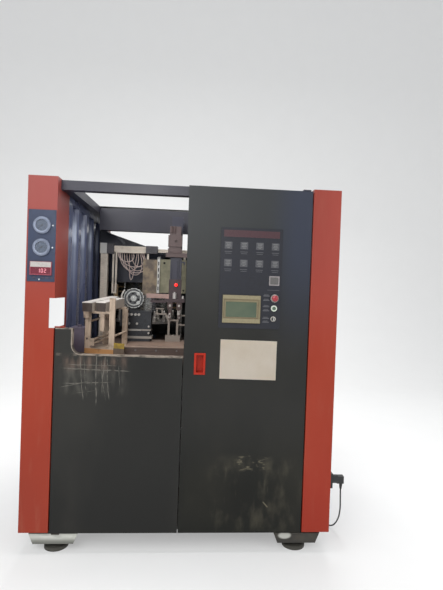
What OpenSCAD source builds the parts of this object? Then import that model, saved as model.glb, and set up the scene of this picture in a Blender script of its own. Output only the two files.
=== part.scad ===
/* [Cabinet] */
// Width over the corner posts
cab_w = 1620; // [1540:10:1750]
// Depth from the front face to the rear face
cab_d = 1500; // [1450:10:1700]
// Height of the cabinet above the floor
cab_h = 1940; // [1920:5:2100]
// Height of the lower edge of the corner posts
skirt_z = 115; // [110:1:130]
// Thickness of the folded cabinet sheet
sheet = 2; // [1.5:0.5:3]
// Width of a corner post
post_w = 148; // [130:1:170]
// Depth of a corner post
post_d = 218; // [190:1:240]

/* [Front doors] */
// Depth of a folded door pan
door_t = 32; // [28:1:38]
// Gap between a door and its post
door_gap = 5; // [5:0.5:8]
// Gap between the two doors
door_split = 4; // [3:0.5:8]
// How far the door faces stand behind the post faces
door_set = 6; // [3:1:10]
// Height of the lower edge of the doors
door_bottom = 109; // [108:1:114]
// Distance of a door pivot from the hinged edge
pivot_in = 30; // [28:1:36]
// Distance of a door pivot behind the door face
pivot_back = 14; // [11:1:15]
// Diameter of a door pivot pin
pivot_d = 10; // [8:1:12]
// Height of the sill of the infeed window
sill_z = 1036; // [980:1:1070]
// Distance of the window's left edge from the centre
window_x = 570; // [520:1:600]
// Height of the tab beside the infeed window
tab_z = 1168; // [1120:1:1200]
// Radius of the window's lower corner
notch_r = 46; // [20:1:60]

/* [Frame] */
// Side of the square tube of the upper frame
tube = 50; // [40:5:60]
// Distance of the frame behind the front and rear faces
frame_set = 58; // [56:1:66]
// Height of the base frame's members
base_h = 80; // [60:5:90]
// Width of the base frame's members
base_w = 60; // [50:5:80]
// Height of the lower side of the base frame
base_z = 100; // [98:1:106]
// Height of the top of the bed plate
bed_z = 1014; // [1000:1:1030]
// Thickness of the bed plate
bed_t = 40; // [30:1:50]
// Height of the raised beam above the bed plate
beam_h = 43; // [30:1:60]

/* [Process unit] */
// Radius of the circle of preform mandrels
turret_pcr = 200; // [190:1:205]
// Number of mandrels on the turret
mandrels = 16; // [12:1:18]
// Radius of the turret shaft
shaft_r = 25; // [20:1:30]
// Radius of the loader wheel
wheel_r = 62; // [55:1:70]
// Radius of a tie bar of the clamp
tie_r = 20; // [16:1:24]
// Distance each mould half travels to close
clamp_travel = 40; // [35:1:45]
// Thickness of a mould half
mould_t = 75; // [70:1:80]
// Radius of the bottle in the mould
bottle_r = 32; // [25:1:36]
// Height of the bottle in the mould
bottle_h = 215; // [180:1:230]
// Distance between the two cavities
cavity_pitch = 130; // [120:1:140]
// Radius of a stretch rod
stretch_r = 6; // [5:0.5:7]
// Diameter of the side lead
lead_d = 8; // [7:0.5:9]

/* [Control] */
// Left edge of the control plate from the centre
plate_x = 177; // [150:1:200]
// Width of the control plate
plate_w = 326; // [300:1:340]
// Height of the lower edge of the control plate
plate_z = 1194; // [1150:1:1210]
// Height of the control plate
plate_h = 527; // [500:1:540]
// Diameter of the panel holes of the switches
switch_d = 22; // [20:1:24]

/* [Fits] */
// Radial clearance of a running fit
fit = 0.05; // [0.02:0.01:0.1]
// Gap between parts that rest or slide beside each other
seat = 0.3; // [0.2:0.05:0.4]
// Smoothness of the round forms
$fn = 64; // [32:8:96]

/* [Hidden] */

// Main planes of the cabinet
front_y = -cab_d / 2;
rear_y = cab_d / 2;
half_w = cab_w / 2;
post_in = half_w - post_w;
post_back = front_y + post_d;
door_y = front_y + door_set;
door_back = door_y + door_t;
door_x = post_in - door_gap;
door_mid = door_split / 2;
door_top = cab_h - 10;
frame_y = front_y + frame_set;
frame_top = cab_h - sheet;
rail_top = cab_h - 5;
base_top = base_z + base_h;
col_x = half_w - 12 - tube;
pivot_x = door_x - pivot_in;
pivot_y = door_y + pivot_back;
beam_z = bed_z + beam_h;

module box(p, q) translate(p) cube(q - p);
module rod_x(x0, x1, y, z, r) translate([x0, y, z]) rotate([0, 90, 0]) cylinder(h = x1 - x0, r = r);
module rod_y(y0, y1, x, z, r) translate([x, y0, z]) rotate([-90, 0, 0]) cylinder(h = y1 - y0, r = r);
module rod_z(z0, z1, x, y, r) translate([x, y, z0]) cylinder(h = z1 - z0, r = r);
module both_sides() {
    children();
    mirror([1, 0, 0]) children();
}
module front_and_rear() {
    children();
    mirror([0, 1, 0]) children();
}

// Outline in the X and Z plane, pushed back along Y from y0
module slab(y0, t) translate([0, y0 + t, 0]) rotate([90, 0, 0]) linear_extrude(t) children();

// Base frame: a welded ring of tube on four leg boxes
leg_x1 = half_w - 45;
leg_x0 = leg_x1 - 250;
leg_y0 = front_y + 20;
leg_y1 = leg_y0 + 140;
leg_bottom = 46;
leg_taper = 22;
module leg_box() slab(leg_y0, leg_y1 - leg_y0) polygon([[leg_x0, base_z], [leg_x1, base_z],
    [leg_x1 - leg_taper, leg_bottom], [leg_x0 + leg_taper, leg_bottom]]);
bracket = 20;
module lower_pivot() {
    flange = 6;
    box([pivot_x - bracket, pivot_y - 12, base_z], [pivot_x + bracket, frame_y, base_z + flange]);
    rod_z(base_z, door_bottom + pin_in, pivot_x, pivot_y, pivot_d / 2);
}
pin_in = 20;
cross_y = rear_y - 260;
cross_w = 100;
saddle_x = [60, 440];
module base_frame() color("dimgray") {
    inner = post_in;
    front_and_rear() box([-col_x - tube, frame_y, base_z], [col_x + tube, frame_y + base_w, base_top]);
    both_sides() box([inner - base_w, frame_y, base_z], [inner, -frame_y, base_top]);
    front_and_rear() box([-inner, -cross_y - cross_w / 2, base_z],
        [inner, -cross_y + cross_w / 2, base_top]);
    for (x = saddle_x) box([x - 25, -cross_y, base_z], [x + 25, cross_y, base_top]);
    both_sides() front_and_rear() leg_box();
    both_sides() lower_pivot();
}

// Foot: a round rubber pad with a steel dome and a threaded stud
pad_r = 62;
pad_h = 24;
stud_r = 10;
module foot() {
    rotate_extrude() polygon([[0, 0], [pad_r, 0], [pad_r, pad_h * 0.55], [pad_r * 0.92, pad_h * 0.7],
        [stud_r * 2.2, pad_h], [stud_r, pad_h], [stud_r, leg_bottom], [0, leg_bottom]]);
    translate([0, 0, pad_h]) cylinder(h = 12, r = 18, $fn = 6);
}
module levelling_feet() color("darkslategray") both_sides() front_and_rear()
    translate([(leg_x0 + leg_x1) / 2, (leg_y0 + leg_y1) / 2, 0]) foot();

// Upper frame: columns in the posts, top ring and the cross beam of the transfer unit
beam_y = 50;
beam_depth = 60;
cross_beam_z = cab_h - 165;
rear_rail_z = cab_h - 300;
upper_pivot_z = door_top + 2;
module upper_frame() color("midnightblue") {
    both_sides() front_and_rear()
        box([col_x, frame_y, base_top], [col_x + tube, frame_y + tube, frame_top]);
    front_and_rear() box([-col_x, frame_y, rail_top - tube], [col_x, frame_y + tube, rail_top]);
    both_sides() box([post_in - tube, frame_y, rail_top - tube], [post_in, -frame_y, rail_top]);
    box([-post_in + tube, beam_y, cross_beam_z], [post_in - tube, beam_y + beam_depth, rail_top - 10]);
    box([-col_x, -frame_y - tube, rear_rail_z], [col_x, -frame_y, rear_rail_z + tube]);
    box([pivot_x - bracket, pivot_y - 12, upper_pivot_z],
        [pivot_x + bracket, frame_y + tube, rail_top + 3]);
    rod_z(door_top - pin_in, upper_pivot_z, pivot_x, pivot_y, pivot_d / 2);
}

// Corner post cover: front, inner and outer folds with a closed top, open at the back
chute_z0 = 1168;
chute_z1 = 1320;
chute_x = 26;
chute_y = 194;
rail_slack = 1;
module post_cover() {
    x0 = post_in;
    difference() {
        box([x0, front_y, skirt_z], [half_w, post_back, cab_h]);
        box([x0 + sheet, front_y + sheet, skirt_z - 1], [half_w - sheet, post_back + 1, cab_h - sheet]);
        box([x0 - 1, frame_y - rail_slack, skirt_z - 1],
            [x0 + sheet + 1, frame_y + base_w + rail_slack, base_top + rail_slack]);
        box([x0 - 1, frame_y - rail_slack, rail_top - tube - rail_slack],
            [x0 + sheet + 1, frame_y + tube + rail_slack, rail_top + rail_slack]);
    }
}
tab_pivot_z = tab_z + 2;
module front_left_post() color("firebrick") {
    difference() {
        mirror([1, 0, 0]) post_cover();
        box([-post_in - chute_x, front_y - 1, chute_z0],
            [-post_in + 1, front_y + chute_y, chute_z1]);
    }
    box([-post_in, pivot_y - 10, tab_pivot_z], [-pivot_x + 14, pivot_y + 10, tab_pivot_z + 5]);
    rod_z(tab_z - pin_in, tab_pivot_z, -pivot_x, pivot_y, pivot_d / 2);
}
module front_right_post() color("firebrick") post_cover();
module rear_posts() color("firebrick") both_sides() difference() {
    mirror([0, 1, 0]) post_cover();
    box([post_in - 1, -frame_y - tube - rail_slack, rear_rail_z - rail_slack],
        [post_in + sheet + 1, -frame_y + rail_slack, rear_rail_z + tube + rail_slack]);
}

// Door pans: a front sheet with folded edges and a bush at each pivot
module bush(x, z) {
    difference() {
        rod_z(z, z + 22, x, pivot_y, pivot_d / 2 + 5);
        rod_z(z - 1, z + 23, x, pivot_y, pivot_d / 2 + fit);
    }
}
module pivot_hole(x, z) rod_z(z - 12, z + 12, x, pivot_y, pivot_d / 2 + fit);
module left_door_outline() {
    tab_x = -window_x;
    r = notch_r;
    polygon([[-door_x, door_bottom], [-door_mid, door_bottom], [-door_mid, sill_z],
        [tab_x, sill_z], [tab_x, tab_z], [-door_x, tab_z]]);
    difference() {
        translate([tab_x, sill_z]) square([r, r]);
        translate([tab_x + r, sill_z + r]) circle(r = r);
    }
}
edge_w = 2;
module left_front_door() color([0.2, 0.2, 0.2]) {
    tab_x = -window_x;
    r = notch_r;
    difference() {
        slab(door_y, door_t) left_door_outline();
        box([-door_x + edge_w, door_y + sheet, door_bottom + edge_w],
            [-door_mid - edge_w, door_back + 1, sill_z - edge_w]);
        box([-door_x + edge_w, door_y + sheet, sill_z - 3 * edge_w],
            [tab_x - edge_w, door_back + 1, tab_z - edge_w]);
        pivot_hole(-pivot_x, door_bottom);
        pivot_hole(-pivot_x, tab_z);
    }
    bush(-pivot_x, door_bottom + 0.5);
    bush(-pivot_x, tab_z - 22.5);
}

// The right door carries the control plate, so it is cut out behind the panel fittings
hmi_x0 = 196;
hmi_x1 = 396;
hmi_z0 = 1222;
hmi_z1 = 1368;
hmi_rim = 9;
switch_x = [470, 468, 466];
switch_z = [1357, 1304, 1248];
pull_x0 = 58;
pull_x1 = 117;
pull_z0 = 945;
pull_z1 = 1058;
pull_rim = 8;
module panel_holes() {
    box([hmi_x0 + hmi_rim, door_y - 10, hmi_z0 + hmi_rim],
        [hmi_x1 - hmi_rim, door_y + 10, hmi_z1 - hmi_rim]);
    for (i = [0 : 2]) rod_y(door_y - 10, door_y + 10, switch_x[i], switch_z[i], switch_d / 2);
}
module right_front_door() color([0.2, 0.2, 0.2]) {
    difference() {
        box([door_mid, door_y, door_bottom], [door_x, door_back, door_top]);
        box([door_mid + edge_w, door_y + sheet, door_bottom + edge_w],
            [door_x - edge_w, door_back + 1, door_top - edge_w]);
        panel_holes();
        box([pull_x0 + pull_rim, door_y - 1, pull_z0 + pull_rim],
            [pull_x1 - pull_rim, door_y + sheet + 1, pull_z1 - pull_rim]);
        pivot_hole(pivot_x, door_bottom);
        pivot_hole(pivot_x, door_top);
    }
    bush(pivot_x, door_bottom + 0.5);
    bush(pivot_x, door_top - 22.5);
}

// Side panel: a sheet with pressed upright ribs, lapped on the returns of the posts
lap = 20;
panel_z0 = base_z + 10;
panel_top = rail_top;
rib_z0 = 230;
rib_z1 = cab_h - 90;
rib_out = 22;
rib_pitch = 206;
rib_w = 146;
rib_slope = 16;
rib_first = post_back + 83;
rib_count = floor((cab_d - 2 * post_d - 83) / rib_pitch);
module rib_profile(d) {
    for (i = [0 : rib_count - 1])
        translate([0, rib_first + i * rib_pitch])
            polygon([[0, d], [rib_out - d, rib_slope + d], [rib_out - d, rib_w - rib_slope - d],
                [0, rib_w - d]]);
}
module side_panel() {
    x0 = post_in + sheet;
    y0 = post_back - lap;
    difference() {
        union() {
            box([x0, y0, panel_z0], [x0 + sheet, -y0, panel_top]);
            translate([x0 + sheet - 0.01, 0, rib_z0]) linear_extrude(rib_z1 - rib_z0) rib_profile(0);
        }
        translate([x0 - 0.01, 0, rib_z0 + sheet]) linear_extrude(rib_z1 - rib_z0 - 2 * sheet)
            rib_profile(sheet);
    }
}
module left_side_panel() color([0.12, 0.13, 0.2]) mirror([1, 0, 0]) side_panel();
module right_side_panel() color([0.12, 0.13, 0.2]) side_panel();

// Rear panel: a screwed pan with pressed louvres, under the open rear band
rear_top = cab_h - 250;
louvre_w = 180;
louvre_h = 14;
louvre_pitch = 34;
louvre_rows = 9;
module louvres(x0, z0) for (i = [0 : louvre_rows - 1]) {
    z = z0 + i * louvre_pitch;
    box([x0, rear_y - sheet - 9, z], [x0 + louvre_w, rear_y + 1, z + louvre_h]);
}
module rear_panel() color([0.2, 0.2, 0.22]) {
    x = door_x;
    y1 = rear_y - 6;
    difference() {
        box([-x, -frame_y, panel_z0], [x, y1, rear_top]);
        box([-x + sheet, -frame_y - 1, panel_z0 + sheet], [x - sheet, y1 - sheet, rear_top - sheet]);
        for (x0 = [-560, -290, 110, 380]) louvres(x0, 300);
    }
}
module roof_panel() color([0.2, 0.2, 0.22]) {
    x = post_in - 1;
    box([-x, beam_y, rail_top], [x, rear_y - 6, rail_top + sheet]);
    box([-x, rear_y - 6 - sheet, rail_top - tube], [x, rear_y - 6, rail_top + 0.01]);
}

// Control plate with its panel fittings, on the right door
plate_t = 3;
plate_y = door_y - plate_t;
module control_plate() color([0.1, 0.1, 0.12]) difference() {
    box([plate_x, plate_y, plate_z], [plate_x + plate_w, door_y, plate_z + plate_h]);
    panel_holes();
}
hmi_front = plate_y - 8;
screen_x0 = 213;
screen_x1 = 375;
screen_z0 = 1253;
screen_z1 = 1333;
module hmi_panel() color([0.55, 0.52, 0.42]) {
    depth = 42;
    difference() {
        union() {
            box([hmi_x0, hmi_front, hmi_z0], [hmi_x1, plate_y, hmi_z1]);
            box([hmi_x0 + hmi_rim + 1, plate_y - 1, hmi_z0 + hmi_rim + 1],
                [hmi_x1 - hmi_rim - 1, door_y + depth, hmi_z1 - hmi_rim - 1]);
        }
        box([screen_x0, hmi_front - 1, screen_z0], [screen_x1, hmi_front + 2, screen_z1]);
    }
}
stem_r = 9;
module switch_blocks() color("silver") for (i = [0 : 2]) {
    collar = [21, 16, 14][i];
    difference() {
        union() {
            rod_y(plate_y - 5, plate_y, switch_x[i], switch_z[i], collar);
            rod_y(plate_y - 1, door_y + 30, switch_x[i], switch_z[i], switch_d / 2 - 0.5);
            rod_y(door_y + sheet, door_y + sheet + 6, switch_x[i], switch_z[i], 15);
            box([switch_x[i] - 15, door_y + 28, switch_z[i] - 20],
                [switch_x[i] + 15, door_y + 62, switch_z[i] + 20]);
        }
        rod_y(plate_y - 6, door_y + 20, switch_x[i], switch_z[i], stem_r + fit);
    }
}
module estop_button() color("red") translate([switch_x[0], plate_y, switch_z[0]]) rotate([90, 0, 0])
    rotate_extrude() polygon([[0, -18], [stem_r, -18], [stem_r, 10], [13, 11], [16, 14], [17, 18],
        [16, 22], [13, 25], [8, 27], [0, 28]]);
module start_button() color("lightgreen") translate([switch_x[1], plate_y, switch_z[1]])
    rotate([90, 0, 0]) rotate_extrude() polygon([[0, -18], [stem_r, -18], [stem_r, 9], [stem_r - 1, 10],
        [0, 10]]);
module key_switch() color("black") translate([switch_x[2], plate_y, switch_z[2]]) {
    rotate([90, 0, 0]) rotate_extrude() polygon([[0, -18], [stem_r, -18], [stem_r, 7], [0, 7]]);
    difference() {
        box([-3, -22, -9], [3, -6, 9]);
        rod_x(-4, 4, -18, 0, 2);
    }
}
module door_pull() color("orangered") {
    dish = 22;
    difference() {
        union() {
            box([pull_x0, door_y - 4, pull_z0], [pull_x1, door_y, pull_z1]);
            box([pull_x0 + pull_rim + 0.5, door_y - 1, pull_z0 + pull_rim + 0.5],
                [pull_x1 - pull_rim - 0.5, door_y + dish + 3, pull_z1 - pull_rim - 0.5]);
        }
        box([pull_x0 + pull_rim + 3, door_y - 5, pull_z0 + pull_rim + 3],
            [pull_x1 - pull_rim - 3, door_y + dish, pull_z1 - pull_rim - 3]);
    }
}

// Gauge plate on the left post
gauge_x = -half_w + 77;
gauge_z = [1576, 1688];
gauge_r = 43;
gauge_plate_x0 = gauge_x - 69;
gauge_plate_x1 = gauge_x + 68;
gauge_plate_z0 = 1402;
gauge_plate_z1 = 1767;
gauge_plate_y = front_y - 3;
display_x0 = gauge_x - 54;
display_x1 = gauge_x + 54;
display_z0 = 1435;
display_z1 = 1504;
module gauge_plate() color([0.12, 0.14, 0.18])
    box([gauge_plate_x0, gauge_plate_y, gauge_plate_z0], [gauge_plate_x1, front_y, gauge_plate_z1]);
module pressure_gauges() color("lightsteelblue") for (z = gauge_z)
    translate([gauge_x, gauge_plate_y, z]) rotate([90, 0, 0]) rotate_extrude()
        polygon([[0, 0], [gauge_r, 0], [gauge_r, 8], [gauge_r - 3, 12], [30, 12], [29, 6], [4, 6],
            [4, 4], [0, 4]]);
module needle(z) translate([gauge_x, gauge_plate_y, z]) rotate([90, 0, 0]) {
    rotate_extrude() polygon([[0, 4 + seat], [3.5, 4 + seat], [3.5, 9], [0, 9]]);
    translate([0, 0, 7]) linear_extrude(1.2) rotate(225)
        polygon([[-8, -1.6], [24, -0.6], [24, 0.6], [-8, 1.6]]);
}
module upper_needle() color("black") needle(gauge_z[1]);
module lower_needle() color("black") needle(gauge_z[0]);
module temperature_display() color([0.5, 0.2, 0.22]) difference() {
    box([display_x0, gauge_plate_y - 9, display_z0], [display_x1, gauge_plate_y, display_z1]);
    box([display_x0 + 6, gauge_plate_y - 10, display_z0 + 6],
        [display_x1 - 6, gauge_plate_y - 7, display_z1 - 30]);
}

// Process bed: the table plate on legs, with the raised front beam
turret_x = -300;
turret_y = 335;
bed_x = post_in - 7;
bed_y0 = front_y + 110;
bed_y1 = rear_y - 145;
bed_leg = 100;
bed_legs = [-550, 0, 550];
beam_x0 = -330;
beam_in = 22;
beam_x1 = post_in - beam_in;
beam_y0 = -550;
beam_y1 = -200;
module process_bed() color([0.3, 0.25, 0.22]) {
    difference() {
        box([-bed_x, bed_y0, bed_z - bed_t], [bed_x, bed_y1, bed_z]);
        rod_z(bed_z - bed_t - 1, bed_z + 1, turret_x, turret_y, shaft_r + 15);
    }
    box([beam_x0, beam_y0, bed_z - 1], [beam_x1, beam_y1, beam_z]);
    for (x = bed_legs) front_and_rear()
        box([x - bed_leg / 2, -cross_y - bed_leg / 2, base_top],
            [x + bed_leg / 2, -cross_y + bed_leg / 2, bed_z - bed_t + 1]);
}

// Infeed: two sloping rails for the preforms on a stand of flat bars
rail_front = [-536, -590];
rail_turn = 17;
rail_slope = 5.2;
rail_len = 326;
rail_short = 256;
rail_top_z = 1299;
rail_w = 58;
rail_side = 52;
rail_gap = 12;
rail_wall = 5;
bar_w = 32;
bar_t = 10;
stand_front = 30;
stand_back = 236;
post_x0 = -24;
post_x1 = 120;
mid_x = 63;
base_plate = 30;
tie_r0 = 6;
module infeed_place() translate([rail_front[0], rail_front[1], 0]) rotate(-rail_turn) children();
module rail_place() infeed_place() translate([0, 0, rail_top_z]) rotate([rail_slope, 0, 0]) children();
module infeed_rail(dx, y0, y1) rail_place() translate([dx, 0, 0]) difference() {
    box([-rail_w / 2, y0, -rail_side], [rail_w / 2, y1, 0]);
    box([-rail_w / 2 + rail_wall, y0 + rail_wall, -rail_side - 1],
        [rail_w / 2 - rail_wall, y1 + 1, -rail_wall - 3]);
    for (y = [60 : 80 : y1 - 20]) translate([0, y, -20]) cylinder(h = 30, r = 3.3);
}
module infeed_rails() color("silver") {
    infeed_rail(0, 0, rail_len);
    infeed_rail(rail_w + rail_gap, 22, rail_short);
}
module slope_bar(x, z) translate([x, stand_front + bar_t - 1, z]) rotate([rail_slope - 90, 0, 0])
    cylinder(h = stand_back - stand_front - bar_t + 4, r = tie_r0);
module infeed_stand() color("tan") {
    seat_z = -rail_side - seat;
    end_x = post_x1 + bar_w;
    infeed_place() {
        difference() {
            box([post_x0, stand_front, bed_z], [post_x0 + bar_w, stand_front + bar_t, 1242]);
            rod_y(0, stand_front + 20, post_x0 + 12, 1095, 7);
        }
        box([post_x1, stand_front, bed_z], [end_x, stand_front + bar_t, 1325]);
        box([post_x0 + bar_w - 1, stand_front, 1058], [post_x0 + 54, stand_front + bar_t, 1098]);
        box([mid_x, stand_front + 4, 1140], [mid_x + bar_w - 6, stand_front + bar_t + 4, 1247]);
        for (x = [post_x0, end_x - bar_w - 20])
            box([x, stand_back, bed_z], [x + bar_w, stand_back + bar_t, 1256]);
        for (z = [1068, 1088]) slope_bar(post_x0 + 44 - (z - 1068) / 4, z);
        slope_bar(post_x0 + 16, 1190);
        slope_bar(end_x - 26, 1108);
        box([post_x0 + 10, stand_back - 2, 1085], [post_x0 + 60, stand_back + 8, 1120]);
        box([end_x - 1, stand_front + 1, bed_z], [end_x + 60, stand_front + 7, bed_z + 66]);
    }
    difference() {
        infeed_place() difference() {
            box([post_x0, stand_front, bed_z], [end_x, stand_back + bar_t, bed_z + base_plate]);
            for (x = [post_x0 + 14, end_x - 14])
                rod_y(stand_front - 1, stand_front + 9, x, bed_z + base_plate / 2, 5);
        }
        box([beam_x0 - seat, beam_y0 - 1, bed_z - 1], [beam_x1, beam_y1, beam_z]);
    }
    rail_place() {
        for (y = [stand_front - 6, stand_back - 4])
            box([post_x0 - 6, y, seat_z - 12], [post_x1 + 1, y + 20, seat_z]);
        box([-rail_w / 2 + 8, -2, seat_z - 34], [rail_w / 2 - 20, stand_front, seat_z]);
    }
}
box_in = 16;
box_to_rail = 22;
box_gland_r = 12;
module junction_box() color([0.35, 0.3, 0.36]) {
    x0 = -post_in + box_in;
    x1 = rail_front[0] - box_to_rail;
    box([x0 + 3, -520, bed_z], [x1 - 3, -400, 1145]);
    box([x0, -523, 1145], [x1, -397, 1151]);
    rod_z(1150, 1164, (x0 + x1) / 2, -460, box_gland_r);
}

// Loader: bearing block and the wheel that takes the preforms off the rails
wheel_x = -316;
wheel_z = 1322;
wheel_y = -330;
axle_r = 10;
block_x0 = -385;
block_x1 = -203;
block_y0 = -308;
block_y1 = -204;
lug_r = 11;
lug_out = 28;
guide_arc = 8;
module loader_block() color([0.16, 0.18, 0.2]) difference() {
    union() {
        box([block_x0 + 10, block_y0 + 6, beam_z], [block_x1 - 10, block_y1 - 6, beam_z + 18]);
        box([block_x0, block_y0, beam_z + 17], [block_x1, block_y1, beam_z + 31]);
        box([block_x0 + 22, block_y0 + 6, beam_z + 30], [block_x1 - 14, block_y1 - 6, beam_z + 66]);
        box([block_x0 + 30, block_y0 - 4, beam_z + 65], [block_x1 - 66, block_y1 - 4, beam_z + 74]);
        box([-292, block_y0 + 6, beam_z + 65], [-210, block_y1 - 6, 1236]);
        box([-298, block_y0 + 2, 1236], [-204, block_y1 - 4, 1244]);
        box([wheel_x - 32, block_y0 + 14, beam_z + 73], [wheel_x + 26, block_y1 - 14, wheel_z]);
        box([wheel_x - 44, block_y0 + 10, 1196], [wheel_x + 34, block_y1 - 14, 1206]);
        rod_y(block_y0 + 10, block_y1 - 10, wheel_x, wheel_z, 34);
        for (x = [-34, -12, 12, 32]) rod_y(block_y0 - 12, block_y0 + 20, wheel_x + x, 1222, 8);
        for (x = [-26, 22]) rod_y(block_y0 - 8, block_y0 + 20, wheel_x + x, 1166, 7);
        for (z = [1110, 1150]) rod_y(block_y0 - 6, block_y0 + 10, -222, z, 6);
        box([-398, block_y0, 1150], [-378, block_y0 + 10, 1300]);
        box([-398, block_y0, 1150], [wheel_x - 30, block_y0 + 20, 1164]);
        guide_hoop();
        rod_z(beam_z + 30, 1281, block_x1 - 7, -240, 3);
    }
    rod_y(block_y0 - 20, block_y1 + 20, wheel_x, wheel_z, axle_r + fit);
}
module guide_hoop() translate([wheel_x, block_y0, wheel_z]) rotate([90, 0, 0]) {
    r = wheel_r + guide_arc;
    rotate(140) rotate_extrude(angle = 105) translate([r, -10]) square([guide_arc, 30]);
    for (a = [150, 180, 225]) rotate(a) translate([r + 2, 0, 0]) cylinder(h = 26, r = 4);
}
module loader_wheel() color("silver") {
    translate([wheel_x, wheel_y, wheel_z]) rotate([-90, 0, 0]) difference() {
        rotate_extrude() polygon([[0, -9], [7, -9], [8, -5], [18, -5], [20, 3], [36, 3], [38, -3],
            [45, -3], [47, 3], [wheel_r - 8, 3], [wheel_r - 6, -3], [wheel_r - 1, -3], [wheel_r, 0],
            [wheel_r, 14], [0, 14]]);
        for (a = [0 : 22.5 : 337.5]) rotate(a) translate([wheel_r + 2, 0, -5]) cylinder(h = 30, r = 6);
        for (a = [15 : 60 : 315]) rotate(a) translate([28, 0, -5]) cylinder(h = 30, r = 5);
    }
    rod_y(wheel_y + 13, block_y1 + 12, wheel_x, wheel_z, axle_r);
    for (s = [-1, 1]) {
        rod_y(wheel_y - 10, wheel_y + 4, wheel_x + lug_out, wheel_z + s * lug_out, lug_r);
        rod_y(wheel_y - 14, wheel_y - 9, wheel_x + lug_out, wheel_z + s * lug_out, lug_r - 5);
    }
}
stand_y0 = -262;
stand_y1 = -238;
module pickup_stand() color("lightgray") {
    for (x = [-109, -56]) box([x, stand_y0 + 4, beam_z], [x + 13, stand_y1 - 4, 1185]);
    box([-122, stand_y0 - 8, beam_z], [-30, stand_y1 + 8, beam_z + 38]);
    slab(stand_y0 + 4, 16) polygon([[-109, 1184], [-96, 1184], [-118, 1232], [-131, 1232]]);
    difference() {
        box([-112, stand_y0, 1184], [-40, stand_y1, 1194]);
        rod_z(1180, 1200, -76, (stand_y0 + stand_y1) / 2, 9);
    }
    box([-190, stand_y0, 1222], [-120, stand_y1, 1231]);
    box([-186, stand_y0, 1257], [-136, stand_y1, 1263]);
    for (x = [-182, -150]) box([x, stand_y0 + 6, 1230], [x + 8, stand_y1 - 6, 1258]);
    for (z = [1157, 1216]) box([-50, stand_y0 + 6, z], [12, stand_y1 - 6, z + 8]);
    box([-50, stand_y0 + 6, 1184], [-43, stand_y1 - 6, 1217]);
}

// Transfer unit: a column hung from the cross beam, its motor, carriage and gripper
guide_x0 = -105;
guide_x1 = -35;
guide_y0 = -250;
guide_y1 = -190;
guide_z0 = 1376;
guide_z1 = 1612;
rail_x = (guide_x0 + guide_x1) / 2;
rail_half = 10;
rail_out = 6;
hang_z = cross_beam_z + 17;
module guide_slots() {
    for (x = [guide_x0 + 12, guide_x1 - 12])
        box([x - 4, guide_y0 - 1, guide_z0 - 1], [x + 4, guide_y0 + 6, guide_z1 + 1]);
    for (x = [guide_x0 - 1, guide_x1 - 7])
        box([x, guide_y0 + 26, guide_z0 - 1], [x + 8, guide_y0 + 34, guide_z1 + 1]);
}
module transfer_column() color([0.13, 0.14, 0.22]) {
    difference() {
        box([guide_x0, guide_y0, guide_z0], [guide_x1, guide_y1, guide_z1]);
        guide_slots();
    }
    box([rail_x - rail_half, guide_y0 - rail_out, guide_z0], [rail_x + rail_half, guide_y0, guide_z1 - 30]);
    for (x = [-20, 20]) box([rail_x + x - 3, guide_y0 - 6, guide_z1 - 44],
        [rail_x + x + 3, guide_y0, guide_z1 - 32]);
    box([guide_x0, guide_y1, guide_z0 + 40], [guide_x1, guide_y1 + 14, hang_z + 58]);
    box([guide_x0 + 10, guide_y1 + 13, hang_z], [guide_x1 - 10, beam_y, hang_z + 58]);
    box([guide_x0 - 6, beam_y - 10, hang_z - 12], [guide_x1 + 6, beam_y, hang_z + 70]);
    box([guide_x1 - 1, guide_y0 + 2, 1552], [guide_x1 + 23, guide_y0 + 24, 1560]);
    box([guide_x1 + 14, guide_y0 + 2, 1540], [guide_x1 + 23, guide_y0 + 24, 1556]);
}
motor_x0 = -122;
motor_x1 = -36;
motor_y0 = -272;
module transfer_motor() color([0.36, 0.3, 0.3]) difference() {
    union() {
        box([motor_x0 - 12, motor_y0 + 4, guide_z1 - 26], [motor_x1 + 40, guide_y0 - 1, guide_z1 - 10]);
        box([motor_x0 - 12, motor_y0 + 4, guide_z1 - 11], [motor_x1 + 40, guide_y1, guide_z1 + 1]);
        box([motor_x0, motor_y0, guide_z1], [motor_x1, guide_y1, 1640]);
        box([motor_x0 + 6, motor_y0 + 6, 1640], [motor_x1 - 6, guide_y1, 1652]);
        box([motor_x0, motor_y0, 1651], [motor_x1, guide_y1, 1722]);
        box([motor_x0 + 8, motor_y0 + 8, 1721], [motor_x1 - 8, guide_y1, 1778]);
        for (x = [22, 40]) rod_z(1738, 1776, motor_x0 + x, motor_y0 + 4, 6);
        for (x = [12, 74], z = [1624, 1708])
            rod_y(motor_y0 - 4, motor_y0 + 4, motor_x0 + x, z, 5);
    }
    rod_y(motor_y0 - 1, motor_y0 + 10, motor_x0 + 51, 1683, 10);
    box([guide_x0 - seat, guide_y0 - rail_out - seat, guide_z1 - 30],
        [guide_x1 + seat, guide_y1 + seat, guide_z1]);
}
grip_y0 = -304;
grip_z = 1304;
arm_y = guide_y0 - rail_out - 5;
lamp_x = -64;
lamp_z = 1412;
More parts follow.
